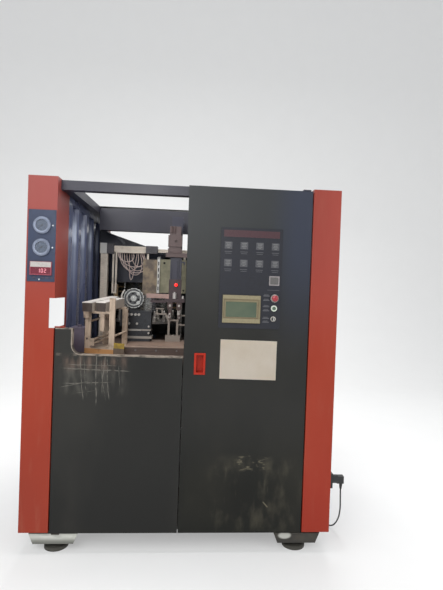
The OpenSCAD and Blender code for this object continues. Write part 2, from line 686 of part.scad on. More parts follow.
module transfer_carriage() color([0.3, 0.3, 0.32]) {
    y1 = guide_y0 - seat;
    difference() {
        box([guide_x0 - 4, y1 - 28, 1384], [guide_x1 + 4, y1, 1446]);
        box([rail_x - rail_half - fit, guide_y0 - rail_out - fit, 1380],
            [rail_x + rail_half + fit, y1 + 1, 1450]);
    }
    rod_y(y1 - 40, y1 - 27, lamp_x, lamp_z, 11);
    for (x = [-34, 28], z = [1394, 1436]) rod_y(y1 - 32, y1 - 27, rail_x + x, z, 4);
    box([guide_x0 - 4, y1 - 28, grip_z], [guide_x1 + 4, arm_y, 1385]);
    box([-245, arm_y - 24, 1326], [guide_x0, arm_y, 1353]);
    box([-220, arm_y - 20, 1298], [-123, arm_y - 4, 1314]);
    for (x = [-214, -136]) box([x, arm_y - 18, 1312], [x + 9, arm_y - 6, 1328]);
    for (x = [-236, -190, -150]) rod_y(arm_y - 28, arm_y - 20, x, 1340, 6);
    box([-123, grip_y0, grip_z], [-8, arm_y, 1326]);
    rod_z(1325, 1361, -71, grip_y0 + 13, 12);
    rod_z(1360, 1368, -71, grip_y0 + 13, 5);
    rod_z(1325, 1345, -19, grip_y0 + 13, 7);
}
grip_x = -69;
jaw_gap = 12;
module finger() difference() {
    union() {
        box([grip_x - jaw_gap - 32, grip_y0 + 4, 1262], [grip_x - jaw_gap, arm_y - 5, grip_z - seat]);
        box([grip_x - jaw_gap - 26, grip_y0 + 8, 1199], [grip_x - jaw_gap - 6, arm_y - 9, 1263]);
        rod_y(grip_y0 - 2, grip_y0 + 10, grip_x - jaw_gap - 16, 1283, 7);
        rod_y(grip_y0, grip_y0 + 10, grip_x - jaw_gap - 16, 1232, 6);
    }
    rod_z(1190, 1225, grip_x, (grip_y0 + arm_y) / 2, 24);
}
module gripper_left() color("silver") finger();
module gripper_right() color("silver") translate([2 * grip_x, 0, 0]) mirror([1, 0, 0]) finger();

// Bridge frame of slotted profile over the loader, with its corner blocks
bridge_y = 150;
prof = 42;
bridge_z = 1635;
bar_top = bridge_z + prof;
left_x = -post_in + 74;
right_x = 17;
thin_bar = 24;
thin_x = 56;
thin_pitch = 21;
thin_w = 12;
thin_z = 1340;
module profile(len, size) difference() {
    translate([-size / 2, -size / 2, 0]) cube([size, size, len]);
    for (a = [0 : 90 : 270]) rotate(a) translate([size / 2 - 5, -4, -1]) cube([6, 8, len + 2]);
}
module bridge_frame() color([0.6, 0.57, 0.5]) {
    y0 = bridge_y - prof / 2;
    translate([left_x, bridge_y, bed_z]) profile(bar_top - bed_z, prof + 6);
    translate([right_x, bridge_y, bed_z]) profile(bar_top - bed_z, prof);
    translate([left_x + 20, bridge_y, bridge_z + prof / 2]) rotate([0, 90, 0]) profile(-278 - left_x, prof);
    translate([-240, bridge_y, bridge_z + thin_bar / 2 + 6]) rotate([0, 90, 0])
        profile(right_x - 20 + 240, thin_bar);
    box([left_x - 28, y0 - 18, 1619], [left_x + 18, y0 - 2, 1692]);
    box([left_x + 18, y0 - 12, 1619], [left_x + 66, y0 + 1, 1690]);
    box([left_x - 28, y0 - 2, bar_top - 1], [left_x + 66, y0 + 30, 1690]);
    difference() {
        box([-298, y0 - 14, 1630], [-216, y0 + prof + 6, 1683]);
        rod_y(y0 - 15, y0 - 6, -257, 1657, 9);
    }
    for (x = [left_x + 8, left_x + 54], z = [1634, 1676]) rod_y(y0 - 22, y0 - 10, x, z, 5);
    for (x = [thin_x, thin_x + thin_pitch])
        box([left_x + x, bridge_y - 14, thin_z], [left_x + x + thin_w, bridge_y - 2, bridge_z + 1]);
    box([left_x + thin_x, bridge_y - 14, thin_z],
        [left_x + thin_x + thin_pitch + thin_w, bridge_y - 2, thin_z + thin_w]);
    box([left_x + 90, strip_y0, hose_top], [-304, strip_y0 + 58, bridge_z + 0.5]);
    for (x = [-290, -30]) box([x, bridge_y - 22, 1400], [x + 14, bridge_y - 8, bridge_z + 8]);
}
shield_y = bridge_y - 30;
module heat_shield() color([0.62, 0.6, 0.42]) {
    box([-314, shield_y, 1338], [-214, shield_y + 8, 1588]);
    difference() {
        box([-214.5, shield_y, 1355], [-8, shield_y + 8, 1593]);
        for (p = [[-165, 1566], [-24, 1566], [-24, 1376]])
            rod_y(shield_y - 1, shield_y + 9, p[0], p[1], 7);
    }
    difference() {
        box([-212, shield_y - 16, 1352], [-195, shield_y + 1, 1607]);
        for (z = [1372 : 44 : 1592]) box([-207, shield_y - 17, z], [-200, shield_y - 9, z + 26]);
    }
}
strip_t = 6;
strip_y0 = bridge_y - 27;
hose_r = 3;
hose_sides = 8;
hose_steps = 14;
hose_pitch = 6.8;
hose_top = bridge_z - strip_t;
// Each hose: start and end beside the left upright's axis, drop, and lean of the loop
hose_runs = [[98, 205, 60, 20], [110, 262, 95, 70], [122, 236, 120, 20], [104, 274, 135, 90],
    [136, 250, 150, 60], [152, 276, 120, 40], [170, 222, 185, -30], [186, 268, 90, 30]];
function blend4(a, b, c, d, t) = pow(1 - t, 3) * a + 3 * t * pow(1 - t, 2) * b
    + 3 * t * t * (1 - t) * c + t * t * t * d;
function hose_route(n) = let (h = hose_runs[n], y = strip_y0 + hose_r + 2 + hose_pitch * n,
    a = [left_x + h[0], y, hose_top], b = [left_x + h[1], y, hose_top], d = [0, 0, 3 * hose_r])
    concat([a], [for (i = [0 : hose_steps]) blend4(a - d, a - [0, 0, h[2] * 1.3],
        b - [-h[3], 0, h[2] * 1.4], b - d, i / hose_steps)], [b]);
module hose_bundle() color("mistyrose")
    for (n = [0 : len(hose_runs) - 1]) sweep(hose_route(n), hose_r, hose_sides, [0, 1, 0]);

// Preform oven: an arched channel over the rear half of the mandrel turret
channel_in = turret_pcr - 34;
channel_out = turret_pcr + 54;
channel_z0 = 1200;
channel_z1 = 1424;
wall = 3;
module at_turret() translate([turret_x, turret_y, 0]) children();
module oven_housing() color("silver") at_turret() {
    rotate_extrude(angle = 180) difference() {
        translate([channel_in, channel_z0]) square([channel_out - channel_in, channel_z1 - channel_z0]);
        translate([channel_in + wall, channel_z0 - 1])
            square([channel_out - channel_in - 2 * wall, channel_z1 - channel_z0 - wall + 1]);
    }
    for (a = [6, 90, 174]) rotate(a) difference() {
        translate([channel_out - wall / 2, -20, bed_z]) cube([14, 40, 1320 - bed_z]);
        cylinder(h = channel_z1, r = channel_out - wall / 2);
    }
}
lamp_r = 6;
lamp_ring = channel_out - 18;
module oven_lamps() color("gold") at_turret() {
    for (z = [1236 : 38 : 1398]) rotate([0, 0, 10]) rotate_extrude(angle = 160)
        translate([lamp_ring, z]) circle(r = lamp_r, $fn = 24);
    for (a = [9, 171]) rotate(a) difference() {
        translate([lamp_ring - 10, -7, 1226]) cube([40, 14, 180]);
        difference() {
            cylinder(h = 2000, r = channel_out + 60);
            translate([0, 0, -1]) cylinder(h = 2002, r = channel_out - wall - seat);
        }
    }
}
hood_x0 = -post_in + 7;
hood_x1 = -190;
hood_low = 1655;
hood_kink = 1791;
hood_y0 = 300;
hood_y1 = 560;
module hood_profile(d) polygon([[hood_x0 + d, channel_z1 - d], [hood_x1 - d, channel_z1 - d],
    [hood_x1 - d, hood_low - d], [hood_x0 + 46, hood_kink - 1.2 * d],
    [hood_x0 + 30, hood_kink + 23 - 1.2 * d], [hood_x0 + d, hood_kink + 29 - 1.2 * d]]);
module oven_hood() color([0.16, 0.18, 0.26]) difference() {
    slab(hood_y0, hood_y1 - hood_y0) hood_profile(0);
    slab(hood_y0 + sheet, hood_y1 - hood_y0 - 2 * sheet) hood_profile(sheet);
}

// Turret with a ring of mandrels, and its drive under the bed
disc_z = 1130;
disc_t = 16;
module mandrel() rotate_extrude() polygon([[0, disc_z + 1], [15, disc_z + 1], [15, disc_z + 42],
    [11, disc_z + 46], [11, disc_z + 62], [9, disc_z + 64], [9, disc_z + 84], [7, disc_z + 92],
    [0, disc_z + 92]]);
module preform_turret() color("lightsteelblue") at_turret() {
    difference() {
        rotate_extrude() polygon([[0, disc_z - 14], [60, disc_z - 14], [64, disc_z],
            [turret_pcr + 24, disc_z], [turret_pcr + 24, disc_z + disc_t], [66, disc_z + disc_t],
            [58, disc_z + 44], [0, disc_z + 44]]);
        for (i = [0 : 5]) rotate(i * 60 + 30) translate([118, 0, disc_z - 1])
            cylinder(h = disc_t + 2, r = 38);
    }
    for (i = [0 : mandrels - 1]) rotate(i * 360 / mandrels) translate([turret_pcr, 0, 0]) mandrel();
    translate([0, 0, 890]) cylinder(h = disc_z - 880, r = shaft_r);
}
module turret_drive() color([0.25, 0.35, 0.45]) at_turret() {
    difference() {
        union() {
            translate([0, 0, bed_z]) cylinder(h = 14, r = 78);
            translate([0, 0, bed_z + 13]) cylinder(h = 70, r = 46);
        }
        translate([0, 0, bed_z - 1]) cylinder(h = 90, r = shaft_r + fit);
        for (a = [45 : 90 : 315]) rotate(a) translate([62, 0, bed_z - 1]) cylinder(h = 16, r = 5.5);
    }
    difference() {
        union() {
            translate([-75, -75, bed_z - bed_t - 150]) cube([150, 150, 150]);
            translate([75, 0, bed_z - bed_t - 75]) rotate([0, 90, 0]) cylinder(h = 20, r = 70);
            translate([94, 0, bed_z - bed_t - 75]) rotate([0, 90, 0]) cylinder(h = 190, r = 62);
        }
        translate([0, 0, 880]) cylinder(h = 100, r = shaft_r + fit);
    }
}

// Clamp: two end plates on a base, four tie bars, and platens that close from both sides
clamp_in = 317;
clamp_x = post_in - clamp_in;
clamp_y = 20;
end_t = 30;
end_half = 255;
end_w = 200;
end_z0 = bed_z + 40;
end_z1 = 1454;
tie_y = 150;
tie_z = [1104, 1404];
platen_t = 35;
platen_w = 190;
mould_half = 130;
mould_z0 = 1112;
mould_z1 = 1402;
parting = clamp_travel + seat / 2;
mould_x = parting;
platen_x = mould_x + mould_t;
piston_r = 15;
cyl_r = 50;
cyl_len = 62;
cavity_z0 = mould_z1 - 34 - bottle_h;
module at_clamp() translate([clamp_x, clamp_y, 0]) children();
module tie_holes(r) for (y = [-tie_y, tie_y], z = tie_z) rod_x(-400, 400, y, z, r);
module clamp_frame() color([0.3, 0.42, 0.5]) at_clamp() {
    box([-end_half - 8, -end_w - 5, bed_z], [end_half + 8, end_w + 5, end_z0]);
    both_sides() difference() {
        box([end_half - end_t, -end_w, end_z0 - 0.01], [end_half, end_w, end_z1]);
        rod_x(0, 400, 0, (tie_z[0] + tie_z[1]) / 2, piston_r + fit);
    }
    for (y = [-tie_y, tie_y], z = tie_z) rod_x(-end_half - 14, end_half + 14, y, z, tie_r);
    both_sides() for (y = [-tie_y, tie_y], z = tie_z) rod_x(end_half, end_half + 10, y, z, tie_r + 10);
}
module clamp_cylinders() color("gray") at_clamp() both_sides() difference() {
    rod_x(end_half, end_half + cyl_len, 0, (tie_z[0] + tie_z[1]) / 2, cyl_r);
    rod_x(end_half - 1, end_half + cyl_len - 8, 0, (tie_z[0] + tie_z[1]) / 2, piston_r + 6);
}
module platen() difference() {
    union() {
        box([platen_x, -platen_w, tie_z[0] - 34], [platen_x + platen_t, platen_w, tie_z[1] + 34]);
        rod_x(platen_x + platen_t - 1, end_half + cyl_len - 12 - 0.5, 0,
            (tie_z[0] + tie_z[1]) / 2, piston_r);
    }
    tie_holes(tie_r + fit);
}
module bottle_cavity() translate([0, 0, cavity_z0]) rotate_extrude() polygon([[0, 6], [bottle_r * 0.6, 0],
    [bottle_r - 3, 0], [bottle_r, 4], [bottle_r, bottle_h * 0.3], [bottle_r - 3, bottle_h * 0.33],
    [bottle_r - 3, bottle_h * 0.47], [bottle_r, bottle_h * 0.5], [bottle_r, bottle_h * 0.68],
    [bottle_r * 0.85, bottle_h * 0.8], [15, bottle_h * 0.98], [14, bottle_h], [14, bottle_h + 40],
    [0, bottle_h + 40]]);
module mould() difference() {
    box([mould_x, -mould_half, mould_z0], [platen_x, mould_half, mould_z1]);
    for (s = [-1, 1]) translate([mould_x, s * cavity_pitch / 2, 0]) bottle_cavity();
    for (z = [1160, 1330]) rod_y(-mould_half - 1, mould_half + 1, mould_x + mould_t - 16, z, 6);
}
module left_platen() color("slategray") at_clamp() mirror([1, 0, 0]) platen();
module right_platen() color("slategray") at_clamp() platen();
module left_mould() color("silver") at_clamp() mirror([1, 0, 0]) mould();
module right_mould() color("silver") at_clamp() mould();

// Stretch unit: portal over the clamp, carriage with two rods, and the blow nozzle block
portal_z = 1742;
guide_r = 10;
guide_dy = 105;
nozzle_lift = 15;
nozzle_z = mould_z1 + nozzle_lift;
nozzle_plate_z = 1450;
stretch_z = 1708;
stretch_travel = 215;
module stretch_portal() color([0.3, 0.42, 0.5]) at_clamp() {
    both_sides() box([end_half - end_t, -60, end_z1], [end_half, 60, portal_z]);
    box([-end_half, -140, portal_z - 0.01], [end_half, 140, portal_z + 22]);
    for (y = [-guide_dy, guide_dy]) rod_z(nozzle_plate_z - 20, portal_z + 1, 0, y, guide_r);
    box([-18, guide_dy + guide_r + 12, nozzle_plate_z + 44], [18, guide_dy + guide_r + 34, portal_z + 1]);
}
module guide_holes() for (y = [-guide_dy, guide_dy]) rod_z(1300, 1900, 0, y, guide_r + fit);
module stretch_carriage() color("slategray") at_clamp() difference() {
    union() {
        box([-36, -guide_dy - 25, stretch_z], [36, guide_dy + guide_r + 11, stretch_z + 28]);
        for (s = [-1, 1]) rod_z(nozzle_z + 12, stretch_z + 1, 0, s * cavity_pitch / 2, stretch_r);
    }
    guide_holes();
}
module nozzle_block() color("gray") at_clamp() difference() {
    union() {
        box([-42, -guide_dy - 28, nozzle_plate_z], [42, guide_dy + 28, nozzle_plate_z + 34]);
        for (s = [-1, 1]) translate([0, s * cavity_pitch / 2, 0]) rotate_extrude()
            polygon([[0, nozzle_z], [15, nozzle_z], [20, nozzle_z + 12], [20, nozzle_plate_z + 1],
                [0, nozzle_plate_z + 1]]);
    }
    guide_holes();
    for (s = [-1, 1]) rod_z(1300, 1600, 0, s * cavity_pitch / 2, stretch_r + fit);
    for (s = [-1, 1]) rod_x(20, 60, s * cavity_pitch / 2, nozzle_plate_z + 17, 8);
}

// Air receiver on two saddles, and the switchgear plate behind the left door
tank_r = 150;
tank_y = 250;
tank_z = base_top + 170;
tank_x0 = -60;
tank_x1 = 560;
module air_tank() color("steelblue") {
    dome = 46;
    translate([tank_x0, tank_y, tank_z]) rotate([0, 90, 0]) rotate_extrude() polygon(concat(
        [[0, -dome]], [for (a = [10 : 10 : 80]) [tank_r * sin(a), -dome * cos(a)]],
        [[tank_r, 0], [tank_r, tank_x1 - tank_x0]],
        [for (a = [80 : -10 : 10]) [tank_r * sin(a), tank_x1 - tank_x0 + dome * cos(a)]],
        [[0, tank_x1 - tank_x0 + dome]]));
    for (x = saddle_x) difference() {
        box([x - 20, tank_y - 120, base_top], [x + 20, tank_y + 120, tank_z - 60]);
        rod_x(x - 21, x + 21, tank_y, tank_z, tank_r - 1);
    }
    rod_z(tank_z + tank_r - 4, tank_z + tank_r + 40, 250, tank_y, 16);
}
gear_y = -cross_y - bed_leg / 2 - 3;
module switchgear() color([0.75, 0.75, 0.72]) {
    box([-600, gear_y, 260], [40, gear_y + 3, 900]);
    for (z = [360, 520, 680, 830]) box([-580, gear_y - 8, z], [20, gear_y, z + 35]);
    for (z = [440, 600, 755]) box([-585, gear_y - 50, z - 18], [25, gear_y, z + 18]);
    for (i = [0 : 6]) box([-570 + i * 62, gear_y - 75, 650], [-570 + i * 62 + 52, gear_y - 7, 735]);
    for (i = [0 : 9]) box([-570 + i * 42, gear_y - 68, 500], [-570 + i * 42 + 38, gear_y - 7, 580]);
    box([-540, gear_y - 110, 290], [-400, gear_y, 410]);
    for (i = [0 : 5]) box([-570 + i * 74, gear_y - 90, 795], [-570 + i * 74 + 70, gear_y - 7, 880]);
}

// Side outlet with its plug, the lead down to the floor, its coil and the far plug
lead_r = lead_d / 2;
outlet_y = front_y + 110;
outlet_z = 356;
outlet_out = 38;
plug_x = half_w + outlet_out;
exit_x = plug_x + 57;
exit_z = 300;
coil_x = half_w + 40;
coil_y = outlet_y + 310;
coil_in = 36;
coil_out = 52;
coil_h = 2 * lead_d;
module side_socket() color("dimgray") difference() {
    box([half_w, outlet_y - 33, outlet_z - 40], [plug_x, outlet_y + 33, outlet_z + 40]);
    rod_x(plug_x - 20, plug_x + 1, outlet_y, outlet_z, 20);
}
module lead_plug() color("black") {
    rod_x(plug_x - 18, plug_x + 1, outlet_y, outlet_z, 19);
    rod_x(plug_x, plug_x + 36, outlet_y, outlet_z, 23);
    box([plug_x + 30, outlet_y - 15, outlet_z - 22], [exit_x + 12, outlet_y + 15, outlet_z + 18]);
    translate([exit_x, outlet_y, exit_z]) cylinder(h = outlet_z - 21 - exit_z, r1 = 6, r2 = 10);
}
// Points along the lead, counted from the outlet on the side panel's plane
lead_steps = [[95, 0, 300], [95, 0, 280], [96, 1, 256], [98, 4, 230], [101, 10, 204],
    [104, 19, 176], [106, 31, 148], [108, 45, 121], [108, 62, 95], [107, 80, 71],
    [104, 99, 49], [100, 119, 30], [95, 140, 16], [89, 162, 7], [83, 184, lead_r],
    [80, 206, lead_r], [80, 228, lead_r], [81, 250, lead_r], [83, 270, lead_r], [84, 290, lead_r]];
lead_sides = 8;
function unit(v) = v / norm(v);
function along(route, i) = unit(route[min(i + 1, len(route) - 1)] - route[max(i - 1, 0)]);
function ring(route, i, r, m, up) = let (d = along(route, i), a = unit(cross(d, up)))
    [for (k = [0 : m - 1]) route[i] + r * (cos(k * 360 / m) * a + sin(k * 360 / m) * cross(d, a))];
module sweep(route, r, m, up) {
    n = len(route);
    walls = [for (i = [0 : n - 2], k = [0 : m - 1])
        [i * m + k, i * m + (k + 1) % m, (i + 1) * m + (k + 1) % m, (i + 1) * m + k]];
    polyhedron([for (i = [0 : n - 1]) each ring(route, i, r, m, up)],
        concat([[for (k = [m - 1 : -1 : 0]) k]], walls, [[for (k = [0 : m - 1]) (n - 1) * m + k]]));
}
module lead() color("black")
    sweep([for (p = lead_steps) p + [half_w, outlet_y, 0]], lead_r, lead_sides, [1, 0.1, 0]);
module lead_coil() color("black") translate([coil_x, coil_y, 0]) rotate_extrude()
    translate([coil_in, 0]) square([coil_out - coil_in, coil_h]);
module mains_plug() color("black") translate([coil_x + 44, coil_y + 30, 17]) rotate([-90, 0, 0]) {
    cylinder(h = 30, r1 = 6, r2 = 10);
    translate([0, 0, 29]) cylinder(h = 40, r = 17);
    for (s = [-1, 1]) translate([s * 9.5, 0, 68]) cylinder(h = 19, r = 2.4);
}

base_frame();
upper_frame();
front_left_post();
front_right_post();
rear_posts();
left_front_door();
right_front_door();
left_side_panel();
right_side_panel();
rear_panel();
roof_panel();
levelling_feet();
control_plate();
hmi_panel();
estop_button();
start_button();
key_switch();
switch_blocks();
door_pull();
gauge_plate();
pressure_gauges();
upper_needle();
lower_needle();
temperature_display();
process_bed();
infeed_stand();
infeed_rails();
junction_box();
loader_block();
loader_wheel();
pickup_stand();
transfer_column();
transfer_motor();
transfer_carriage();
gripper_left();
gripper_right();
bridge_frame();
hose_bundle();
oven_housing();
oven_lamps();
oven_hood();
heat_shield();
preform_turret();
turret_drive();
clamp_frame();
clamp_cylinders();
left_platen();
right_platen();
left_mould();
right_mould();
stretch_portal();
stretch_carriage();
nozzle_block();
air_tank();
switchgear();
side_socket();
lead_plug();
lead();
lead_coil();
mains_plug();
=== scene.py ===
import math
from functools import reduce
import bpy
import bmesh
from mathutils import Matrix, Vector


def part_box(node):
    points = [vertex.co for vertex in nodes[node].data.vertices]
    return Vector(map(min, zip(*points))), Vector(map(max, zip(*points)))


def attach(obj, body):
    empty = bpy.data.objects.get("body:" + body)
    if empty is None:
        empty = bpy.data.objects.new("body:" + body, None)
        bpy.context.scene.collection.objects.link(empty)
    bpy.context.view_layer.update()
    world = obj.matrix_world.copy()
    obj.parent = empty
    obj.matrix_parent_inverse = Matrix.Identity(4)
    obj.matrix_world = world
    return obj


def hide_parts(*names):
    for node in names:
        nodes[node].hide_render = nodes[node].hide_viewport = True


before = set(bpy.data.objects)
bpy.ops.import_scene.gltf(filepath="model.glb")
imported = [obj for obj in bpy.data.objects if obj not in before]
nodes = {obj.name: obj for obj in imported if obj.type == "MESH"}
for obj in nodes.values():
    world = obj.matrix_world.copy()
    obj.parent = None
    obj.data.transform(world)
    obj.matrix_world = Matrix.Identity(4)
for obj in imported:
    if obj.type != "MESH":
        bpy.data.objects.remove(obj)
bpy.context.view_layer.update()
scene = bpy.context.scene


def put(name, data):
    """A new object in the scene."""
    made = bpy.data.objects.new(name, data)
    scene.collection.objects.link(made)
    return made


# Camera
IMAGE_H = 590
FOCAL_PX = 445.0
SENSOR_MM = 36
EYE = Vector((0.025, -3.070, 1.397))
YAW, PITCH, ROLL = 0.0705, -0.0135, 0.0355


def make_camera():
    """Camera that stood before the machine: turned, tilted and rolled as fitted to its edges."""
    look = Vector((math.sin(YAW) * math.cos(PITCH), math.cos(YAW) * math.cos(PITCH), math.sin(PITCH)))
    right = Vector((math.cos(YAW), -math.sin(YAW), 0))
    up = right.cross(look)
    r = right * math.cos(ROLL) + up * math.sin(ROLL)
    u = up * math.cos(ROLL) - right * math.sin(ROLL)
    data = bpy.data.cameras.new("eye")
    data.sensor_width = SENSOR_MM
    data.lens = FOCAL_PX * SENSOR_MM / IMAGE_H
    camera = put("eye", data)
    camera.matrix_world = Matrix((
        (r.x, u.x, -look.x, EYE.x), (r.y, u.y, -look.y, EYE.y),
        (r.z, u.z, -look.z, EYE.z), (0, 0, 0, 1)))
    scene.camera = camera


make_camera()

# Side lead and its coil: thickness in metres, places in millimetres
LEAD_D = 0.008
LEAD_MM = LEAD_D * 1000
LEAD_ROUTE = [
    (905, -640, 300), (905, -640, 280), (906, -639, 256), (908, -636, 230), (911, -630, 204),
    (914, -621, 176), (916, -609, 148), (918, -595, 121), (918, -578, 95), (917, -560, 71),
    (914, -541, 49), (910, -521, 30), (905, -500, 16), (899, -478, 7), (893, -456, 4),
    (890, -434, 4), (890, -412, 4), (891, -390, 4)]
COIL_MID, COIL_START, COIL_R = (850, -330), (890, -372), 48
COIL_TURNS, TURN_STEPS = 4, 20


def crossing(turn, at):
    """How far the lead has crossed to its next course, from 0 to 1 over 0.4 of a turn."""
    return min(1, max(0, (turn - at) / 0.4))


def lead_points():
    """Route down to the floor, then the turns of the coil, wound in two layers of two."""
    points = [Vector(p) / 1000 for p in LEAD_ROUTE]
    start = math.atan2(COIL_START[1] - COIL_MID[1], COIL_START[0] - COIL_MID[0])
    for i in range(2, COIL_TURNS * TURN_STEPS + 8):
        turn = i / TURN_STEPS
        wound = min(turn, COIL_TURNS)
        height = LEAD_MM / 2 + LEAD_MM * crossing(wound, 1.8)
        out = COIL_R - LEAD_MM * crossing(wound, 0.8) + LEAD_MM * crossing(wound, 2.8)
        angle = start + turn * 2 * math.pi
        points.append(Vector((COIL_MID[0] + out * math.cos(angle),
                              COIL_MID[1] + out * math.sin(angle), height)) / 1000)
    return points


def curve_tube(name, points, radius, material):
    """Round cord along a list of points."""
    curve = bpy.data.curves.new(name, "CURVE")
    curve.dimensions = "3D"
    curve.bevel_depth = radius
    curve.bevel_resolution = 6
    curve.use_fill_caps = True
    spline = curve.splines.new("POLY")
    spline.points.add(len(points) - 1)
    for target, p in zip(spline.points, points):
        target.co = (*p, 1)
    curve.materials.append(material)
    return put(name, curve)


# Node trees
def add_node(tree, kind, settings=(), values=()):
    """A node of a tree, with its settings and the values or links of its sockets."""
    made = tree.nodes.new(kind)
    for key, value in dict(settings).items():
        setattr(made, key, value)
    for key, value in dict(values).items():
        if isinstance(value, bpy.types.NodeSocket):
            tree.links.new(value, made.inputs[key])
        else:
            made.inputs[key].default_value = value
    return made


def math_method(kind):
    """Method that puts a socket and further values through one Math node."""
    def method(self, *others):
        return self.paint.node("Math", {"operation": kind}, dict(enumerate([self, *others])))
    return method


class Wire:
    """A shader socket that takes part in Python expressions."""

    def __init__(self, paint, socket):
        self.paint, self.socket = paint, socket

    __add__ = __radd__ = math_method("ADD")
    __sub__ = math_method("SUBTRACT")
    __mul__ = __rmul__ = math_method("MULTIPLY")
    __truediv__ = math_method("DIVIDE")
    __pow__ = math_method("POWER")
    __abs__ = math_method("ABSOLUTE")
    __lt__ = math_method("LESS_THAN")
    __gt__ = math_method("GREATER_THAN")
    at_most = math_method("MINIMUM")
    at_least = math_method("MAXIMUM")

    def __rsub__(self, other):
        return self.paint.node("Math", {"operation": "SUBTRACT"}, {0: other, 1: self})

    def between(self, low, high, soft):
        """1 inside low..high, falling to 0 over soft outside it."""
        rise = self.ramp(low - soft, low)
        return rise * (1 - self.ramp(high, high + soft))

    def ramp(self, low, high, start=0.0, end=1.0):
        """Goes smoothly from start at low to end at high, and stays there."""
        return self.paint.node("MapRange", {"interpolation_type": "SMOOTHSTEP"}, {
            "Value": self, "From Min": low, "From Max": high, "To Min": start, "To Max": end})

    def falls(self, low, high):
        """1 up to low, 0 from high on."""
        return self.ramp(low, high, 1.0, 0.0)

    def coat(self, mask, *colour):
        """Lays an 8-bit colour over this one where the mask is 1."""
        return self.paint.blend(mask, self, srgb(*colour))

    def wide(self, start, end):
        """Spreads nearly all of a noise's range over start..end."""
        return self.ramp(0.25, 0.75, start, end)

    def mid(self, start, end):
        """Spreads the middle of a noise's range over start..end."""
        return self.ramp(0.3, 0.7, start, end)


class Paint:
    """One material, written as expressions on the object's own coordinates."""

    def __init__(self, name):
        self.material = bpy.data.materials.new(name)
        self.material.use_nodes = True
        self.tree = self.material.node_tree
        self.tree.nodes.clear()
        self.place = self.node("TexCoord", output="Object")
        split = self.node("SeparateXYZ", values={0: self.place}, output=None)
        self.x, self.y, self.z = (Wire(self, s) for s in split.outputs)

    def node(self, kind, settings=(), values=(), output=0):
        """A shader node: one of its outputs, or the node itself where output is None."""
        values = {key: v.socket if isinstance(v, Wire) else v for key, v in dict(values).items()}
        made = add_node(self.tree, "ShaderNode" + kind, settings, values)
        return made if output is None else Wire(self, made.outputs[output])

    def stretched(self, stretch):
        """The object's coordinates, scaled along each axis."""
        return self.node("Mapping", values={"Vector": self.place, "Scale": stretch})

    def noise(self, scale, detail, stretch=(1, 1, 1)):
        """Cloudy noise from 0 to 1, finer with a higher scale."""
        values = {"Vector": self.stretched(stretch), "Scale": scale, "Detail": detail}
        return self.node("TexNoise", values=values)

    def cells(self, scale, stretch):
        """Distance to the nearest of many scattered spots."""
        return self.node("TexVoronoi", values={"Vector": self.stretched(stretch), "Scale": scale})

    def blend(self, factor, a, b):
        """Colour a where factor is 0 and b where it is 1."""
        values = {0: factor, 6: a if isinstance(a, Wire) else (*a, 1),
                  7: b if isinstance(b, Wire) else (*b, 1)}
        return self.node("Mix", {"data_type": "RGBA"}, values, output=2)

    def shade(self, colour, amount):
        """Colour made darker or lighter by a factor that varies."""
        return self.node("VectorMath", {"operation": "SCALE"}, {0: colour, "Scale": amount})

    def bump(self, height, strength, distance):
        """Surface direction of a relief."""
        return self.node("Bump", values={"Height": height, "Strength": strength, "Distance": distance})

    def peel(self, scale, strength=0.05):
        """Fine orange peel of sprayed paint."""
        return self.bump(self.noise(scale, 2), strength, 0.0006)

    def finish(self, **sockets):
        """Principled shader with its named sockets, and the surface output."""
        names = {"colour": "Base Color", "rough": "Roughness", "metal": "Metallic",
                 "normal": "Normal", "coat": "Coat Weight",
                 "emit": "Emission Color", "emit_power": "Emission Strength",
                 "specular": "Specular IOR Level", "alpha": "Alpha"}
        values = {names[k]: ((*v, 1) if k in ("colour", "emit") and not isinstance(v, Wire) else v)
                  for k, v in sockets.items()}
        shader = self.node("BsdfPrincipled", values=values)
        self.node("OutputMaterial", values={"Surface": shader}, output=None)
        return self.material

    def worn(self, colour, texture, rough, relief, **sockets):
        """Surface whose gloss runs over rough, and whose relief is (strength, depth), with one texture."""
        return self.finish(colour=colour, rough=texture.mid(*rough),
                           normal=self.bump(texture, *relief), **sockets)


def srgb(r, g, b):
    """Photograph's 8-bit colour as the linear one that shaders use."""
    def one(v):
        v /= 255
        return v / 12.92 if v <= 0.04045 else ((v + 0.055) / 1.055) ** 2.4
    return tuple(one(v) for v in (r, g, b))


def powder_coat(name, colour, rough, dust=0.3):
    """Baked powder paint: fine orange peel, uneven gloss, and dust that thickens near the floor."""
    p = Paint(name)
    cloud = p.noise(2.4, 5, (1, 1, 0.5))
    spots = p.noise(55, 4)
    low = p.z.falls(0.02, 0.75)
    grime = (cloud.ramp(0.42, 0.75) * 0.35 + spots.ramp(0.5, 0.8) * 0.25) * (low * dust + dust * 0.25)
    tone = p.shade(colour, cloud.ramp(0.2, 0.8, 0.9, 1.1))
    dusty = tuple(min(1, 0.55 * c + 0.16) for c in colour)
    return p.finish(colour=p.blend(grime.at_most(1.0), tone, dusty),
                    rough=cloud.mid(rough - 0.05, rough + 0.07) + grime * 0.3, normal=p.peel(900))


def bare_metal(name, colour, rough, along, stain, metal):
    """Machined or drawn metal: streaks along one direction, and oil stains."""
    p = Paint(name)
    streak = p.noise(45, 4, along)
    stains = p.noise(14, 5)
    tone = p.shade(colour, streak.wide(0.82, 1.12))
    dark = tuple(c * 0.38 for c in colour)
    spots = stains.ramp(0.5, 0.72) * stain
    return p.finish(colour=p.blend(spots, tone, dark), metal=metal,
                    rough=streak.ramp(0.2, 0.8, rough - 0.07, rough + 0.1) + spots * 0.4,
                    normal=p.bump(streak, 0.12, 0.0004))


